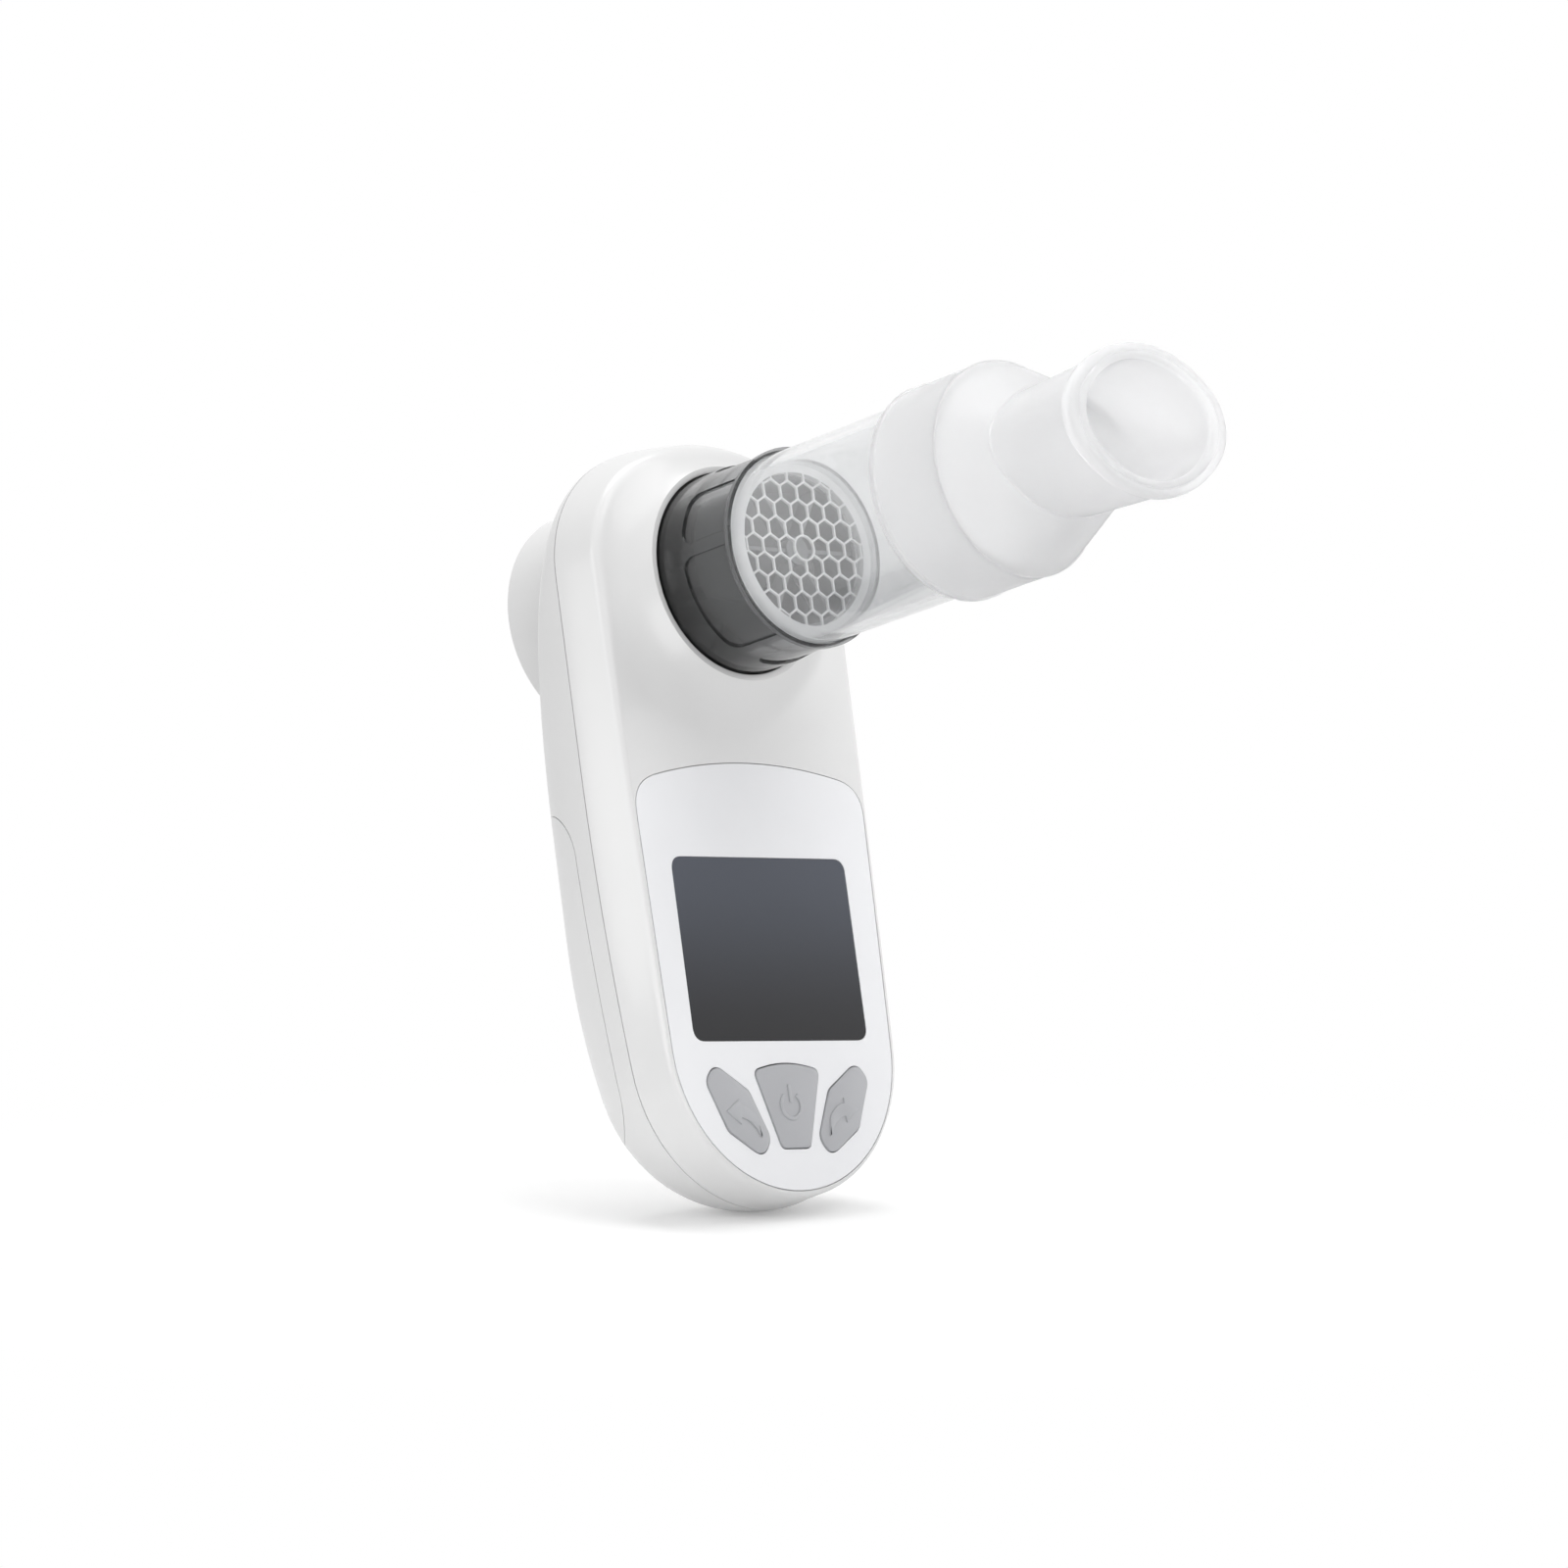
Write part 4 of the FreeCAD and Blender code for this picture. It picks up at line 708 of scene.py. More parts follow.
def door_prism(door, name, grow):
    """Side-view outline of the battery door, drawn right across the body."""
    low = BATTERY_LOW.z - door.below_cells - grow
    high = BATTERY_HIGH.z + door.above_cells + grow
    front = FACE_Y + door.front_depth - grow
    back = BOSS_RIM_Y
    radius = door.corner_radius + grow
    outline = [Vector((back, high)), Vector((back, low))]
    outline += arc_points(Vector((front + radius, low + radius)), radius, -math.pi / 2, -math.pi, 16)
    outline.append(Vector((front, low + radius)))
    outline += arc_points(Vector((front + radius, high - radius)), radius, math.pi, math.pi / 2, 16)
    outline.append(Vector((front + radius, high)))
    reach = HALF_WIDTH + 2 * OVERLAP
    return skin(name, [[Vector((x, point.x, point.y)) for point in outline] for x in (-reach, reach)])


def box_solid(name, low, high):
    outline = box_outline(low[0], high[0], low[2], high[2])
    return prism(name, outline, low[1], high[1])


def bay_box(door, name, grow, y_low, y_high):
    """Box round the two cells, which lie side by side with a gap between them."""
    cell = BATTERY_HIGH.x - BATTERY_LOW.x
    side = cell + door.cell_room + grow + door.cell_gap
    low = BATTERY_LOW.z - door.contact_room - grow
    high = BATTERY_HIGH.z + door.contact_room + grow
    return box_solid(name, (-side, y_low, low), (side, y_high, high))


class FLOWMETER_OT_rear_shell(bpy.types.Operator):
    """Build the rear shell with its exhaust boss and battery bay"""

    bl_idname = "flowmeter.rear_shell"
    bl_label = "Rear shell"

    def execute(self, context):
        case = context.scene.flow_case
        door = context.scene.flow_door
        seam_y = FACE_Y + case.parting_depth
        shell = back_skin(case, "rear_case", 0.0)
        combine(shell, prism("boss", circle(case.boss_radius), seam_y, BOSS_RIM_Y), "UNION")
        combine(shell, back_skin(case, "room", case.wall, lead=OVERLAP), "DIFFERENCE")
        port_floor = BOSS_RIM_Y - case.port_length
        collar_y = seam_y + case.collar_setback
        combine(shell, prism("collar", circle(case.boss_radius), collar_y, port_floor + case.wall), "UNION")
        combine(shell, prism("port", circle(case.port_radius), port_floor, BOSS_RIM_Y + OVERLAP), "DIFFERENCE")
        socket = prism("socket", circle(SOCKET_RADIUS + door.gap), seam_y - OVERLAP, port_floor + OVERLAP / 10)
        combine(shell, socket, "DIFFERENCE")
        combine(shell, door_prism(door, "door", 0.0), "DIFFERENCE")
        deck_y = FACE_Y + door.front_depth - door.seat_gap
        deck = back_skin(case, "deck", door.deck_inset)
        deck_low = BATTERY_LOW.z - door.below_cells - case.wall
        deck_high = BATTERY_HIGH.z + door.above_cells
        combine(deck, box_solid("deck_slice", (-HALF_WIDTH, deck_y - door.bay_wall, deck_low),
                                (HALF_WIDTH, deck_y, deck_high)), "INTERSECT")
        tray_y = BATTERY_LOW.y - door.cell_room - door.bay_wall
        combine(deck, bay_box(door, "tray", door.bay_wall, tray_y, deck_y), "UNION")
        combine(shell, deck, "UNION")
        combine(shell, bay_box(door, "cells", 0.0, tray_y + door.bay_wall, BOSS_RIM_Y), "DIFFERENCE")
        for screw_x, screw_z in screw_places():
            outline = [point + Vector((screw_x, screw_z)) for point in circle(SCREW_HOLE_RADIUS, 32)]
            hole_y = FACE_Y + case.upper_hole_depth if screw_z > 0 else deck_y - 1.5 * door.bay_wall
            combine(shell, prism("screw", outline, hole_y, BOSS_RIM_Y + OVERLAP), "DIFFERENCE")
        finish_piece(shell, "body_case", case_material(context), ("rear_shell",))
        return {"FINISHED"}


def screw_places():
    """Centres of the four shell screws in XZ, read off their group's box."""
    low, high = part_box("shell_screws")
    upper_z, lower_z = high.z - SCREW_HEAD_RADIUS, low.z + SCREW_HEAD_RADIUS
    return [(-UPPER_SCREW_X, upper_z), (UPPER_SCREW_X, upper_z),
            (low.x + SCREW_HEAD_RADIUS, lower_z), (high.x - SCREW_HEAD_RADIUS, lower_z)]


class FLOWMETER_OT_battery_door(bpy.types.Operator):
    """Build the battery door that wraps round the back"""

    bl_idname = "flowmeter.battery_door"
    bl_label = "Battery door"

    def execute(self, context):
        case = context.scene.flow_case
        door = context.scene.flow_door
        cover = back_skin(case, "battery_cover_skin", 0.0)
        combine(cover, back_skin(case, "room", case.wall, lead=OVERLAP), "DIFFERENCE")
        combine(cover, door_prism(door, "edge", -door.gap), "INTERSECT")
        finish_piece(cover, "battery_cover", case_material(context), ("battery_door",))
        return {"FINISHED"}


# Mouthpiece

def oval(half_width, half_height, end_share):
    """Oval of four arcs in XZ, wider than it is high; a circle when both halves are the same."""
    end_radius = half_height - (half_width - half_height) * end_share
    end_x = half_width - end_radius
    rise = half_height - end_radius
    if rise < 1e-7:
        return circle(half_height)
    side_z = (end_x ** 2 - rise ** 2) / (2 * rise)
    side_radius = side_z + half_height
    turn = math.atan2(end_x, side_z)
    meeting = math.atan2(side_radius * math.sin(turn), side_radius * math.cos(turn) - side_z)
    points = []
    for way in circle(1.0):
        across, up = abs(way.x), abs(way.y)
        if math.atan2(across, up) < meeting:
            toward, centre, radius = -up * side_z, side_z, side_radius
        else:
            toward, centre, radius = across * end_x, end_x, end_radius
        points.append(way * (toward + math.sqrt(toward ** 2 - centre ** 2 + radius ** 2)))
    return points


def mouthpiece(mouth):
    """Collar, domed shoulder, oval neck and rounded lip, with the bore that runs through them."""
    rear = MOUTH_HIGH.y
    shoulder = rear - mouth.collar_length
    root = shoulder - mouth.dome_length
    lip = MOUTH_LOW.y + mouth.lip_length
    radius = mouth.collar_radius
    bead = mouth.bead_height
    bore = mouth.collar_bore
    ridge = mouth.ridge
    soft = mouth.bead_rounding
    stop = mouth.tube_stop
    rows = [(rear, bore), (rear, radius + bead - soft), (rear - soft / 2, radius + bead),
            (rear - mouth.bead_length, radius + bead), (rear - mouth.bead_length - bead, radius)]
    rows += [(rear + (shoulder - rear) * step / 8, radius) for step in range(2, 8)]
    rows += [(shoulder + 3 * ridge, radius), (shoulder + ridge, radius + ridge), (shoulder - ridge, radius + ridge)]
    rows = [(y, size, size) for y, size in rows]
    steps = 20
    for step in range(steps + 1):
        share = step / steps
        drop = share - mouth.dome_bulge * math.sin(math.pi * share)
        width = radius - ridge + (mouth.neck_half_width - radius + ridge) * share
        height = radius - ridge + (mouth.neck_half_height - radius + ridge) * drop
        rows.append((shoulder - 2 * ridge - (mouth.dome_length - 3 * ridge) * share, width, height))
    rows += [(root - ridge * along, mouth.neck_half_width + ridge * up, mouth.neck_half_height + ridge * up)
             for along, up in ((-0.5, 1), (0.5, 1), (1.5, -1))]
    steps = 8
    for step in range(1, steps + 1):
        share = step / steps
        width = mouth.neck_half_width + (mouth.tip_half_width - mouth.neck_half_width) * share - ridge
        height = mouth.neck_half_height + (mouth.tip_half_height - mouth.neck_half_height) * share - ridge
        rows.append((root + (lip - root) * share, width, height))
    rows += lip_rows(mouth, lip)
    bore_width = mouth.bore_half_width
    bore_height = mouth.bore_half_height
    rows += [(lip + (root - lip) * step / 5, bore_width, bore_height) for step in range(1, 5)]
    for step in range(9):
        share = step / 8
        width = bore_width + (bore - stop - bore_width) * share
        height = bore_height + (bore - stop - bore_height) * share
        rows.append((root + (shoulder + stop - root) * share, width, height))
    rows += [(shoulder + stop + soft, bore, bore)]
    rings = [at_depth(oval(width, height, mouth.end_share), y) for y, width, height in rows]
    return skin("mouthpiece_moulding", rings, wrap=True)


LIP_PROFILE = ((0.0, 0.05), (0.08, 0.01), (0.25, 0.0), (0.55, 0.0), (0.74, 0.02), (0.88, 0.07), (0.97, 0.15),
               (1.0, 0.25), (0.99, 0.38), (0.95, 0.44), (0.88, 0.47), (0.88, 0.53), (0.95, 0.56), (0.99, 0.61),
               (1.0, 0.72), (0.98, 0.86), (0.90, 0.96), (0.78, 1.0), (0.5, 1.0), (0.1, 0.88))


def lip_rows(mouth, lip):
    """Rounded band round the mouth with a fine groove in its face, from the neck's outside to its bore."""
    deep_w = mouth.lip_half_width - mouth.lip_bore_width
    deep_h = mouth.lip_half_height - mouth.lip_bore_height
    return [(lip - mouth.lip_length * along, mouth.lip_half_width - deep_w * inward,
             mouth.lip_half_height - deep_h * inward) for along, inward in LIP_PROFILE]


class FLOWMETER_OT_mouthpiece(bpy.types.Operator):
    """Build the mouthpiece with its collar, oval neck and lip"""

    bl_idname = "flowmeter.mouthpiece"
    bl_label = "Mouthpiece"

    def execute(self, context):
        colours = context.scene.flow_colours
        piece = mouthpiece(context.scene.flow_mouthpiece)
        frost = see_through("Frosted plastic", colours.frost, 0.52, 0.61, ior=1.24)
        finish_piece(piece, "mouthpiece_body", frost, ("mouthpiece",))
        return {"FINISHED"}


# Tube, turbine and inserts

CELL_PITCH = 0.00333
CELL_WEB = 0.00028
WEB_DEPTH = 0.0004
EYE_RADIUS = 0.0018
CELL_FIELD_RADIUS = 0.01205
TUBE_SHOULDER = 0.00145


def hexagons(name, pitch, web, reach, y_start, y_end):
    """Separate six-sided prisms side by side, without the one in the middle."""
    corner = (pitch - web) / math.sqrt(3)
    rows = math.ceil(reach / pitch) + 1

    def fill(bm):
        for row in range(-rows, rows + 1):
            for column in range(-rows - 1, rows + 1):
                middle = Vector(((column + (row % 2) / 2) * pitch, row * pitch * math.sqrt(3) / 2))
                if not pitch / 2 < middle.length < reach + corner:
                    continue
                cell = [middle + corner * Vector((math.sin(turn), math.cos(turn)))
                        for turn in (math.tau * side / 6 for side in range(6))]
                ends = [[bm.verts.new((point.x, y, point.y)) for point in cell] for y in (y_start, y_end)]
                bm.faces.new(ends[0])
                bm.faces.new(ends[1][::-1])
                for i in range(6):
                    j = (i + 1) % 6
                    bm.faces.new((ends[0][i], ends[0][j], ends[1][j], ends[1][i]))

    return new_piece(name, fill)


def flow_straightener():
    """Honeycomb of thin webs in a plain ring, with a round eye at its centre."""
    seat = STRAIGHTENER_SEAT_Y - HAIRLINE
    front, back = HOUSING_FRONT_Y - OVERLAP, seat + OVERLAP
    cells = hexagons("cells", CELL_PITCH, CELL_WEB, CELL_FIELD_RADIUS, front, back)
    combine(cells, prism("field", circle(CELL_FIELD_RADIUS), front - OVERLAP, back + OVERLAP), "INTERSECT")
    eye_wall = prism("eye_wall", circle(EYE_RADIUS + CELL_WEB), front - OVERLAP, back + OVERLAP)
    combine(cells, eye_wall, "DIFFERENCE")
    disc = prism("honeycomb", circle(TUBE_HIGH.x), HOUSING_FRONT_Y, seat)
    combine(disc, prism("room", circle(CELL_FIELD_RADIUS), HOUSING_FRONT_Y + WEB_DEPTH, back), "DIFFERENCE")
    combine(disc, cells, "DIFFERENCE")
    return combine(disc, prism("eye", circle(EYE_RADIUS, 48), front, back), "DIFFERENCE")


def flow_tube():
    """Clear tube that stands on the straightener's rim, with softly rounded ends."""
    outer, inner = TUBE_HIGH.x, CELL_FIELD_RADIUS + TUBE_SHOULDER
    front, rear = TUBE_LOW.y, HOUSING_FRONT_Y - HAIRLINE
    soft = 0.0003
    length_steps = [front + (rear - front) * step / 12 for step in range(13)]
    rows = [(outer - soft, front), (outer - 0.3 * soft, front + 0.3 * soft)]
    rows += [(outer, y) for y in [front + soft] + length_steps[1:]]
    rows += [(inner, y) for y in length_steps[:0:-1] + [front + soft]]
    rows += [(inner + 0.3 * soft, front + 0.3 * soft), (inner + soft, front)]
    return skin("flow_tube", [at_depth(circle(radius), y) for radius, y in rows], wrap=True)


class FLOWMETER_OT_turbine(bpy.types.Operator):
    """Finish the clear tube, the smoked housing and everything inside them"""

    bl_idname = "flowmeter.turbine"
    bl_label = "Tube and turbine"

    def execute(self, context):
        colours = context.scene.flow_colours
        # Painted shade: the clear tube is coloured darker towards its underside.
        clear = see_through("Clear plastic", colours.clear, 0.06, 0.86, ior=1.12, coat=0.5,
                            fade=("Z", TUBE_LOW.z, 0.0, colours.clear_painted_shade))
        finish_piece(flow_tube(), "turbine", clear, ("clear_tube",))
        # Painted shade: the smoked housing is coloured darker towards its rear inside the nozzle.
        smoke = see_through("Smoked plastic", colours.smoke, 0.10, 0.9, ior=1.3, coat=0.4,
                            fade=("Y", NOZZLE_TIP_Y, NOZZLE_TIP_Y - 0.009, colours.smoke_painted_shade))
        dress(["turbine_housing"], smoke)
        dress(["front_swirl_guide", "rear_swirl_guide"], moulded("Guide grey", colours.guide, 0.4))
        screen = flow_straightener()
        finish_piece(screen, "turbine", moulded("Straightener", colours.web, 0.35), ("flow_screen",))
        dress(["seal_ring"], moulded("Seal rubber", (0.03, 0.03, 0.03), 0.6))
        dress(["rotor_vane"], moulded("Dark vane", (0.10, 0.10, 0.105), 0.4))
        dress(["front_bearing", "rear_bearing"], metal("Bearing bronze", (0.55, 0.36, 0.18), 0.35))
        dress(["turbine_socket"], moulded("Socket grey", (0.22, 0.22, 0.225), 0.45))
        return {"FINISHED"}


# Display, keys and inner parts

def display_plate(case, face):
    """Thin plate over the front, with openings for the window and the keys."""
    back = FACE_Y + face.panel_seat
    plate = prism("panel_plate", panel_outline(case, face, 0.0), FACE_Y, back)
    low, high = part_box("screen_window")
    rim = face.window_rim
    corners = box_outline(low.x + rim, high.x - rim, low.z + rim, high.z - rim)
    window = rounded(corners, (face.window_corner,) * 4)
    for outline in [window, *key_outlines(face.key_gap)]:
        combine(plate, prism("opening", outline, FACE_Y - OVERLAP, back + OVERLAP), "DIFFERENCE")
    return plate


class FLOWMETER_OT_display(bpy.types.Operator):
    """Finish the display panel, its window and the display behind it"""

    bl_idname = "flowmeter.display"
    bl_label = "Display"

    def execute(self, context):
        colours = context.scene.flow_colours
        plate = display_plate(context.scene.flow_case, context.scene.flow_face)
        finish_piece(plate, "body_case", moulded("Panel film", colours.panel, 0.42, coat=0.1),
                     ("display_panel",))
        # The screen's colour carries a painted reflection, lighter towards the top.
        glass = screen_glass("Screen glass", colours.screen, colours.screen_painted_reflection)
        dress(["screen_window", "lcd_module"], glass)
        return {"FINISHED"}


SIGN_SINK = 0.00005      # how far a sign's foot lies in its key
POWER_RING_RADIUS = 0.0020
POWER_RING_OPENING = math.radians(38)
POWER_BAR = (0.0004, 0.0033)


def relief(name, outline, low_y, height, bevel):
    """Raised sign with sloping edges, from an XZ outline."""
    def fill(bm):
        base = [bm.verts.new((point.x, low_y + SIGN_SINK, point.y)) for point in outline]
        cap = bm.faces.new(base)
        raised = bmesh.ops.extrude_face_region(bm, geom=[cap])
        tops = [item for item in raised["geom"] if isinstance(item, bmesh.types.BMVert)]
        bmesh.ops.translate(bm, verts=tops, vec=(0, -height - SIGN_SINK, 0))
        bmesh.ops.recalc_face_normals(bm, faces=bm.faces)
        rims = [edge for edge in bm.edges if all(vert in tops for vert in edge.verts)]
        bmesh.ops.bevel(bm, geom=rims, offset=bevel, segments=2, affect="EDGES", profile=0.5)
    return new_piece(name, fill)


def power_sign(stroke):
    """Open ring and upright bar, in XZ about the key's middle."""
    half = stroke / 2
    steps = 40
    turns = [POWER_RING_OPENING + (math.tau - 2 * POWER_RING_OPENING) * i / steps for i in range(steps + 1)]
    ways = [Vector((math.sin(turn), math.cos(turn))) for turn in turns]
    ring = [way * (POWER_RING_RADIUS + half) for way in ways]
    ring += [way * (POWER_RING_RADIUS - half) for way in reversed(ways)]
    return ring, rounded(box_outline(-half, half, *POWER_BAR), (half * 0.9,) * 4, 4)


# Curved arrow on the forward key: how far each point is to the right and above the foot
ARROW_TAIL = (0.0070, 0.0097)
ARROW_LOW = (ARROW_TAIL, (0.00765, 0.0108), (0.0085, 0.0118), (0.0095, 0.01245), (0.0106, 0.0128))
ARROW_HEAD = ((0.0108, 0.0118), (0.0135, 0.01385), (0.0107, 0.0157))
ARROW_TOP = ((0.01065, 0.01485), (0.0094, 0.0145), (0.0082, 0.0136), (0.0074, 0.0124), ARROW_TAIL)


def arrow_sign():
    """Arrow that swings up and over to the right, in XZ on the forward key."""
    low, head, top = ([Vector((x, FOOT_Z + rise)) for x, rise in run] for run in (ARROW_LOW, ARROW_HEAD, ARROW_TOP))
    return smooth_run(low) + head + smooth_run(top)[:-1]


def smooth_run(points, steps=6):
    """Catmull-Rom curve through a few points."""
    curve = []
    for index in range(len(points) - 1):
        before = points[max(index - 1, 0)]
        start, end = points[index], points[index + 1]
        after = points[min(index + 2, len(points) - 1)]
        for step in range(steps):
            t = step / steps
            curve.append(0.5 * (2 * start + (end - before) * t + (2 * before - 5 * start + 4 * end - after) * t ** 2
                                + (3 * start - before - 3 * end + after) * t ** 3))
    curve.append(points[-1])
    return curve


class FLOWMETER_OT_keys(bpy.types.Operator):
    """Finish the three keys and raise a sign on each"""

    bl_idname = "flowmeter.keys"
    bl_label = "Keys"

    def execute(self, context):
        face = context.scene.flow_face
        rubber = moulded("Key rubber", context.scene.flow_colours.key, 0.45, grain_strength=0.2)
        top_y = FACE_Y - face.key_rise
        switch_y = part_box("tact_switches")[0].y
        bevel = face.sign_height * 0.6
        caps = (("forward_key_cap", "forward_button", "forward_key"), ("back_key_cap", "back_button", "back_key"),
                ("power_key_cap", "power_button", "power_key"))
        for outline, (name, node, body) in zip(key_outlines(0.0), caps):
            low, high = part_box(node)
            cap = prism(name, outline, top_y, top_y + face.key_thickness)
            middle = Vector(((low.x + high.x) / 2, (low.z + high.z) / 2))
            pin = [middle + point for point in circle(face.plunger_radius, 32)]
            combine(cap, prism("plunger", pin, top_y + face.key_thickness / 2, switch_y - face.plunger_gap), "UNION")
            finish_piece(cap, body, rubber, (node,), soften=0.00025)
        low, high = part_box("power_button")
        middle = Vector((-0.0002, (low.z + high.z) / 2 - 0.0002))
        for name, outline in zip(("power_ring", "power_bar"), power_sign(face.sign_stroke)):
            sign = relief(name, [point + middle for point in outline], top_y, face.sign_height, bevel)
            finish_piece(sign, "power_key", rubber)
        for name, body, side in (("forward_arrow", "forward_key", 1), ("back_arrow", "back_key", -1)):
            outline = [Vector((side * point.x, point.y)) for point in arrow_sign()]
            finish_piece(relief(name, outline, top_y, face.sign_height, bevel), body, rubber)
        return {"FINISHED"}


class FLOWMETER_OT_inner_parts(bpy.types.Operator):
    """Finish the boards, cells, contacts, screws and sensors"""

    bl_idname = "flowmeter.inner_parts"
    bl_label = "Inner parts"

    def execute(self, context):
        dress(["main_board", "sensor_board"], moulded("Circuit board", (0.02, 0.16, 0.06), 0.4))
        package = moulded("Black package", (0.02, 0.02, 0.022), 0.5)
        dress(["processor_chip", "buzzer", "tact_switches", "light_emitter", "light_receiver"], package)
        dress(["battery_left", "battery_right"], metal("Cell jacket", (0.62, 0.63, 0.65), 0.3))
        dress(["upper_contacts", "lower_contacts", "shell_screws", "rotor_shaft"],
              metal("Plated steel", (0.72, 0.72, 0.70), 0.28))
        return {"FINISHED"}


# Stage

CAMERA_PLACE = (-0.6454, -0.7319, -0.2052)
CAMERA_AXES = ((0.7418, -0.6577, -0.1312), (-0.0222, -0.2197, 0.9753), (-0.6703, -0.7205, -0.1776))
CAMERA_LENS = 145.1
FLOOR_NORMAL = (-0.08, -0.28, 0.956)
FLOOR_RADIUS = 0.17
FLOOR_DROP = 0.0001
FLOOR_GLOW = 0.25
SURROUND_STRENGTH = 0.40
LAMP_SIZE = 0.8
LAMP_TARGET = (0.0, -0.05, -0.03)
LAMPS = (("left_lamp", (-1.1, 0.15, 0.15), 3.7), ("top_lamp", (0.0, -0.1, 1.1), 5.6),
         ("front_lamp", (0.1, -0.8, 0.75), 3.4), ("right_lamp", (0.95, -0.55, 0.2), 2.1),
         ("low_lamp", (-0.5, -0.9, -0.5), 4.4))


def aimed(place, target):
    way = Vector(target) - Vector(place)
    return Matrix.Translation(place) @ way.to_track_quat("-Z", "Y").to_matrix().to_4x4()


def add_lamp(name, place, watts):
    lamp = bpy.data.lights.new(name, "AREA")
    lamp.shape = "DISK"
    lamp.size = LAMP_SIZE
    lamp.energy = watts
    holder = bpy.data.objects.new(name, lamp)
    holder.matrix_world = aimed(place, LAMP_TARGET)
    bpy.context.scene.collection.objects.link(holder)


def seen_directly(nodes, links):
    """1 for rays from the camera, from gloss and through glass, else 0."""
    path = nodes.new("ShaderNodeLightPath")
    total = path.outputs["Is Camera Ray"]
    for ray in ("Is Glossy Ray", "Is Transmission Ray"):
        larger = nodes.new("ShaderNodeMath")
        larger.operation = "MAXIMUM"
        links.new(total, larger.inputs[0])
        links.new(path.outputs[ray], larger.inputs[1])
        total = larger.outputs[0]
    return total


def white_world(strength):
    world = bpy.data.worlds.new("White studio")
    bpy.context.scene.world = world
    world.use_nodes = True
    nodes, links = world.node_tree.nodes, world.node_tree.links
    nodes["Background"].inputs["Color"].default_value = (1, 1, 1, 1)
    nodes["Background"].inputs["Strength"].default_value = strength
    seen = nodes.new("ShaderNodeBackground")
    seen.inputs["Color"].default_value = (1, 1, 1, 1)
    seen.inputs["Strength"].default_value = 1.0
    mix = nodes.new("ShaderNodeMixShader")
    links.new(seen_directly(nodes, links), mix.inputs["Fac"])
    links.new(nodes["Background"].outputs[0], mix.inputs[1])
    links.new(seen.outputs[0], mix.inputs[2])
    links.new(mix.outputs[0], nodes["World Output"].inputs["Surface"])


def floor_material():
    """Pale floor that shows only its shadow near the foot and fades into the white behind it."""
    material = bpy.data.materials.new("Pale floor")
    material.use_nodes = True
    nodes, links = material.node_tree.nodes, material.node_tree.links
    nodes.clear()
    place = nodes.new("ShaderNodeTexCoord")
    distance = nodes.new("ShaderNodeVectorMath")
    distance.operation = "LENGTH"
    links.new(place.outputs["Object"], distance.inputs[0])
    fade = nodes.new("ShaderNodeMapRange")
    fade.interpolation_type = "SMOOTHSTEP"
    fade.inputs["From Min"].default_value = 0.25 * FLOOR_RADIUS
    fade.inputs["From Max"].default_value = 0.95 * FLOOR_RADIUS
    links.new(distance.outputs["Value"], fade.inputs["Value"])
    back = nodes.new("ShaderNodeNewGeometry")
    hidden = nodes.new("ShaderNodeMath")
    hidden.operation = "MAXIMUM"
    links.new(fade.outputs["Result"], hidden.inputs[0])
    links.new(back.outputs["Backfacing"], hidden.inputs[1])
    paint = nodes.new("ShaderNodeBsdfDiffuse")
    paint.inputs["Color"].default_value = (0.9, 0.9, 0.9, 1)
    glow = nodes.new("ShaderNodeEmission")
    glow.inputs["Color"].default_value = (1, 1, 1, 1)
    level = nodes.new("ShaderNodeMath")
    level.operation = "MULTIPLY"
    level.inputs[1].default_value = FLOOR_GLOW
    links.new(seen_directly(nodes, links), level.inputs[0])
    links.new(level.outputs[0], glow.inputs["Strength"])
    lit = nodes.new("ShaderNodeAddShader")
    links.new(paint.outputs[0], lit.inputs[0])
    links.new(glow.outputs[0], lit.inputs[1])
    clear = nodes.new("ShaderNodeBsdfTransparent")
    mix = nodes.new("ShaderNodeMixShader")
    links.new(hidden.outputs[0], mix.inputs["Fac"])
    links.new(lit.outputs[0], mix.inputs[1])
    links.new(clear.outputs[0], mix.inputs[2])
    output = nodes.new("ShaderNodeOutputMaterial")
    links.new(mix.outputs[0], output.inputs["Surface"])
    return material


def add_floor(material):
    """Round floor that touches the lowest point of the foot."""
    normal = Vector(FLOOR_NORMAL).normalized()
    corners = [obj.matrix_world @ vert.co for obj in bpy.data.objects
               if obj.type == "MESH" and obj.name.startswith(("front_case", "rear_case")) for vert in obj.data.vertices]
    lowest = min(corners, key=lambda point: point.dot(normal))

    def fill(bm):
        bmesh.ops.create_circle(bm, cap_ends=True, radius=FLOOR_RADIUS, segments=96)
        for vert in bm.verts:
            vert.co.z -= FLOOR_DROP

    floor = new_piece("floor", fill)
    floor.data.materials.append(material)
    turn = Vector((0, 0, 1)).rotation_difference(normal).to_matrix().to_4x4()
    floor.matrix_world = Matrix.Translation(lowest) @ turn


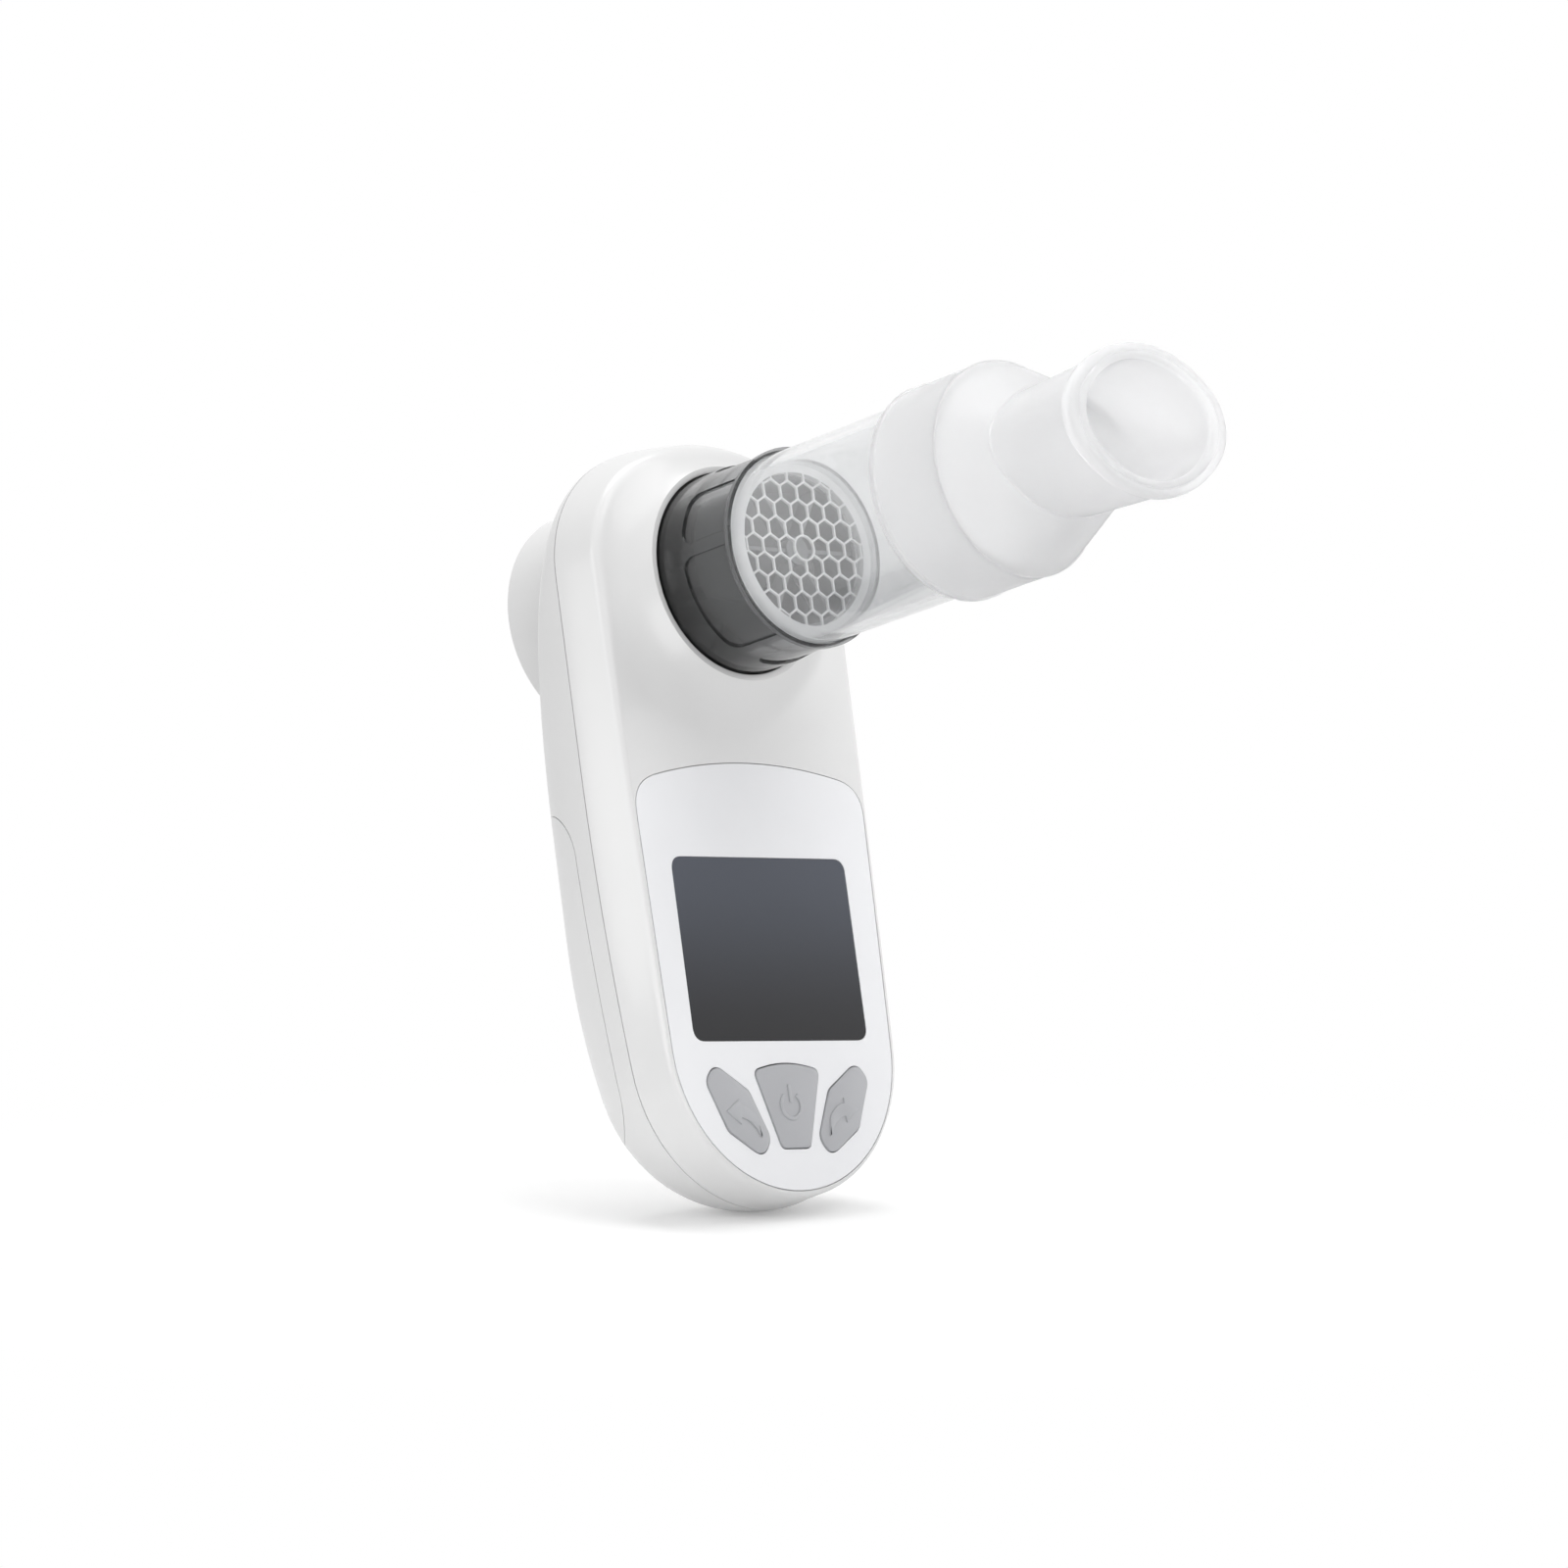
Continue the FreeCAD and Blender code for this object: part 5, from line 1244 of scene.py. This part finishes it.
class FLOWMETER_OT_stage(bpy.types.Operator):
    """Set the floor, the soft lamps, the white surround and the camera"""

    bl_idname = "flowmeter.stage"
    bl_label = "Stage"

    def execute(self, context):
        scene = context.scene
        scene.view_settings.view_transform = "Standard"
        white_world(SURROUND_STRENGTH)
        for name, place, watts in LAMPS:
            add_lamp(name, place, watts)
        add_floor(floor_material())
        camera = bpy.data.cameras.new("photo_camera")
        camera.lens = CAMERA_LENS
        camera.sensor_width = 36.0
        camera.clip_start = 0.01
        holder = bpy.data.objects.new("photo_camera", camera)
        axes = Matrix(CAMERA_AXES).transposed()
        holder.matrix_world = Matrix.Translation(CAMERA_PLACE) @ axes.to_4x4()
        scene.collection.objects.link(holder)
        scene.camera = holder
        return {"FINISHED"}


class FLOWMETER_PT_panel(bpy.types.Panel):
    bl_label = "Peak flow meter"
    bl_idname = "FLOWMETER_PT_panel"
    bl_space_type = "VIEW_3D"
    bl_region_type = "UI"
    bl_category = "Flow meter"

    def draw(self, context):
        for operator in OPERATORS:
            self.layout.operator(operator.bl_idname)


GROUPS = (
    (FlowMeterCase, "flow_case"),
    (FlowMeterDoor, "flow_door"),
    (FlowMeterFace, "flow_face"),
    (FlowMeterMouthpiece, "flow_mouthpiece"),
    (FlowMeterColours, "flow_colours"),
)
OPERATORS = (
    FLOWMETER_OT_front_shell,
    FLOWMETER_OT_rear_shell,
    FLOWMETER_OT_battery_door,
    FLOWMETER_OT_mouthpiece,
    FLOWMETER_OT_turbine,
    FLOWMETER_OT_display,
    FLOWMETER_OT_keys,
    FLOWMETER_OT_inner_parts,
    FLOWMETER_OT_stage,
)


def register():
    for group, name in GROUPS:
        bpy.utils.register_class(group)
        setattr(bpy.types.Scene, name, PointerProperty(type=group))
    for operator in OPERATORS:
        bpy.utils.register_class(operator)
    bpy.utils.register_class(FLOWMETER_PT_panel)


def unregister():
    bpy.utils.unregister_class(FLOWMETER_PT_panel)
    for operator in reversed(OPERATORS):
        bpy.utils.unregister_class(operator)
    for group, name in reversed(GROUPS):
        delattr(bpy.types.Scene, name)
        bpy.utils.unregister_class(group)


def main():
    register()
    for operator in OPERATORS:
        category, name = operator.bl_idname.split(".")
        getattr(getattr(bpy.ops, category), name)()


if __name__ == "__main__":
    main()
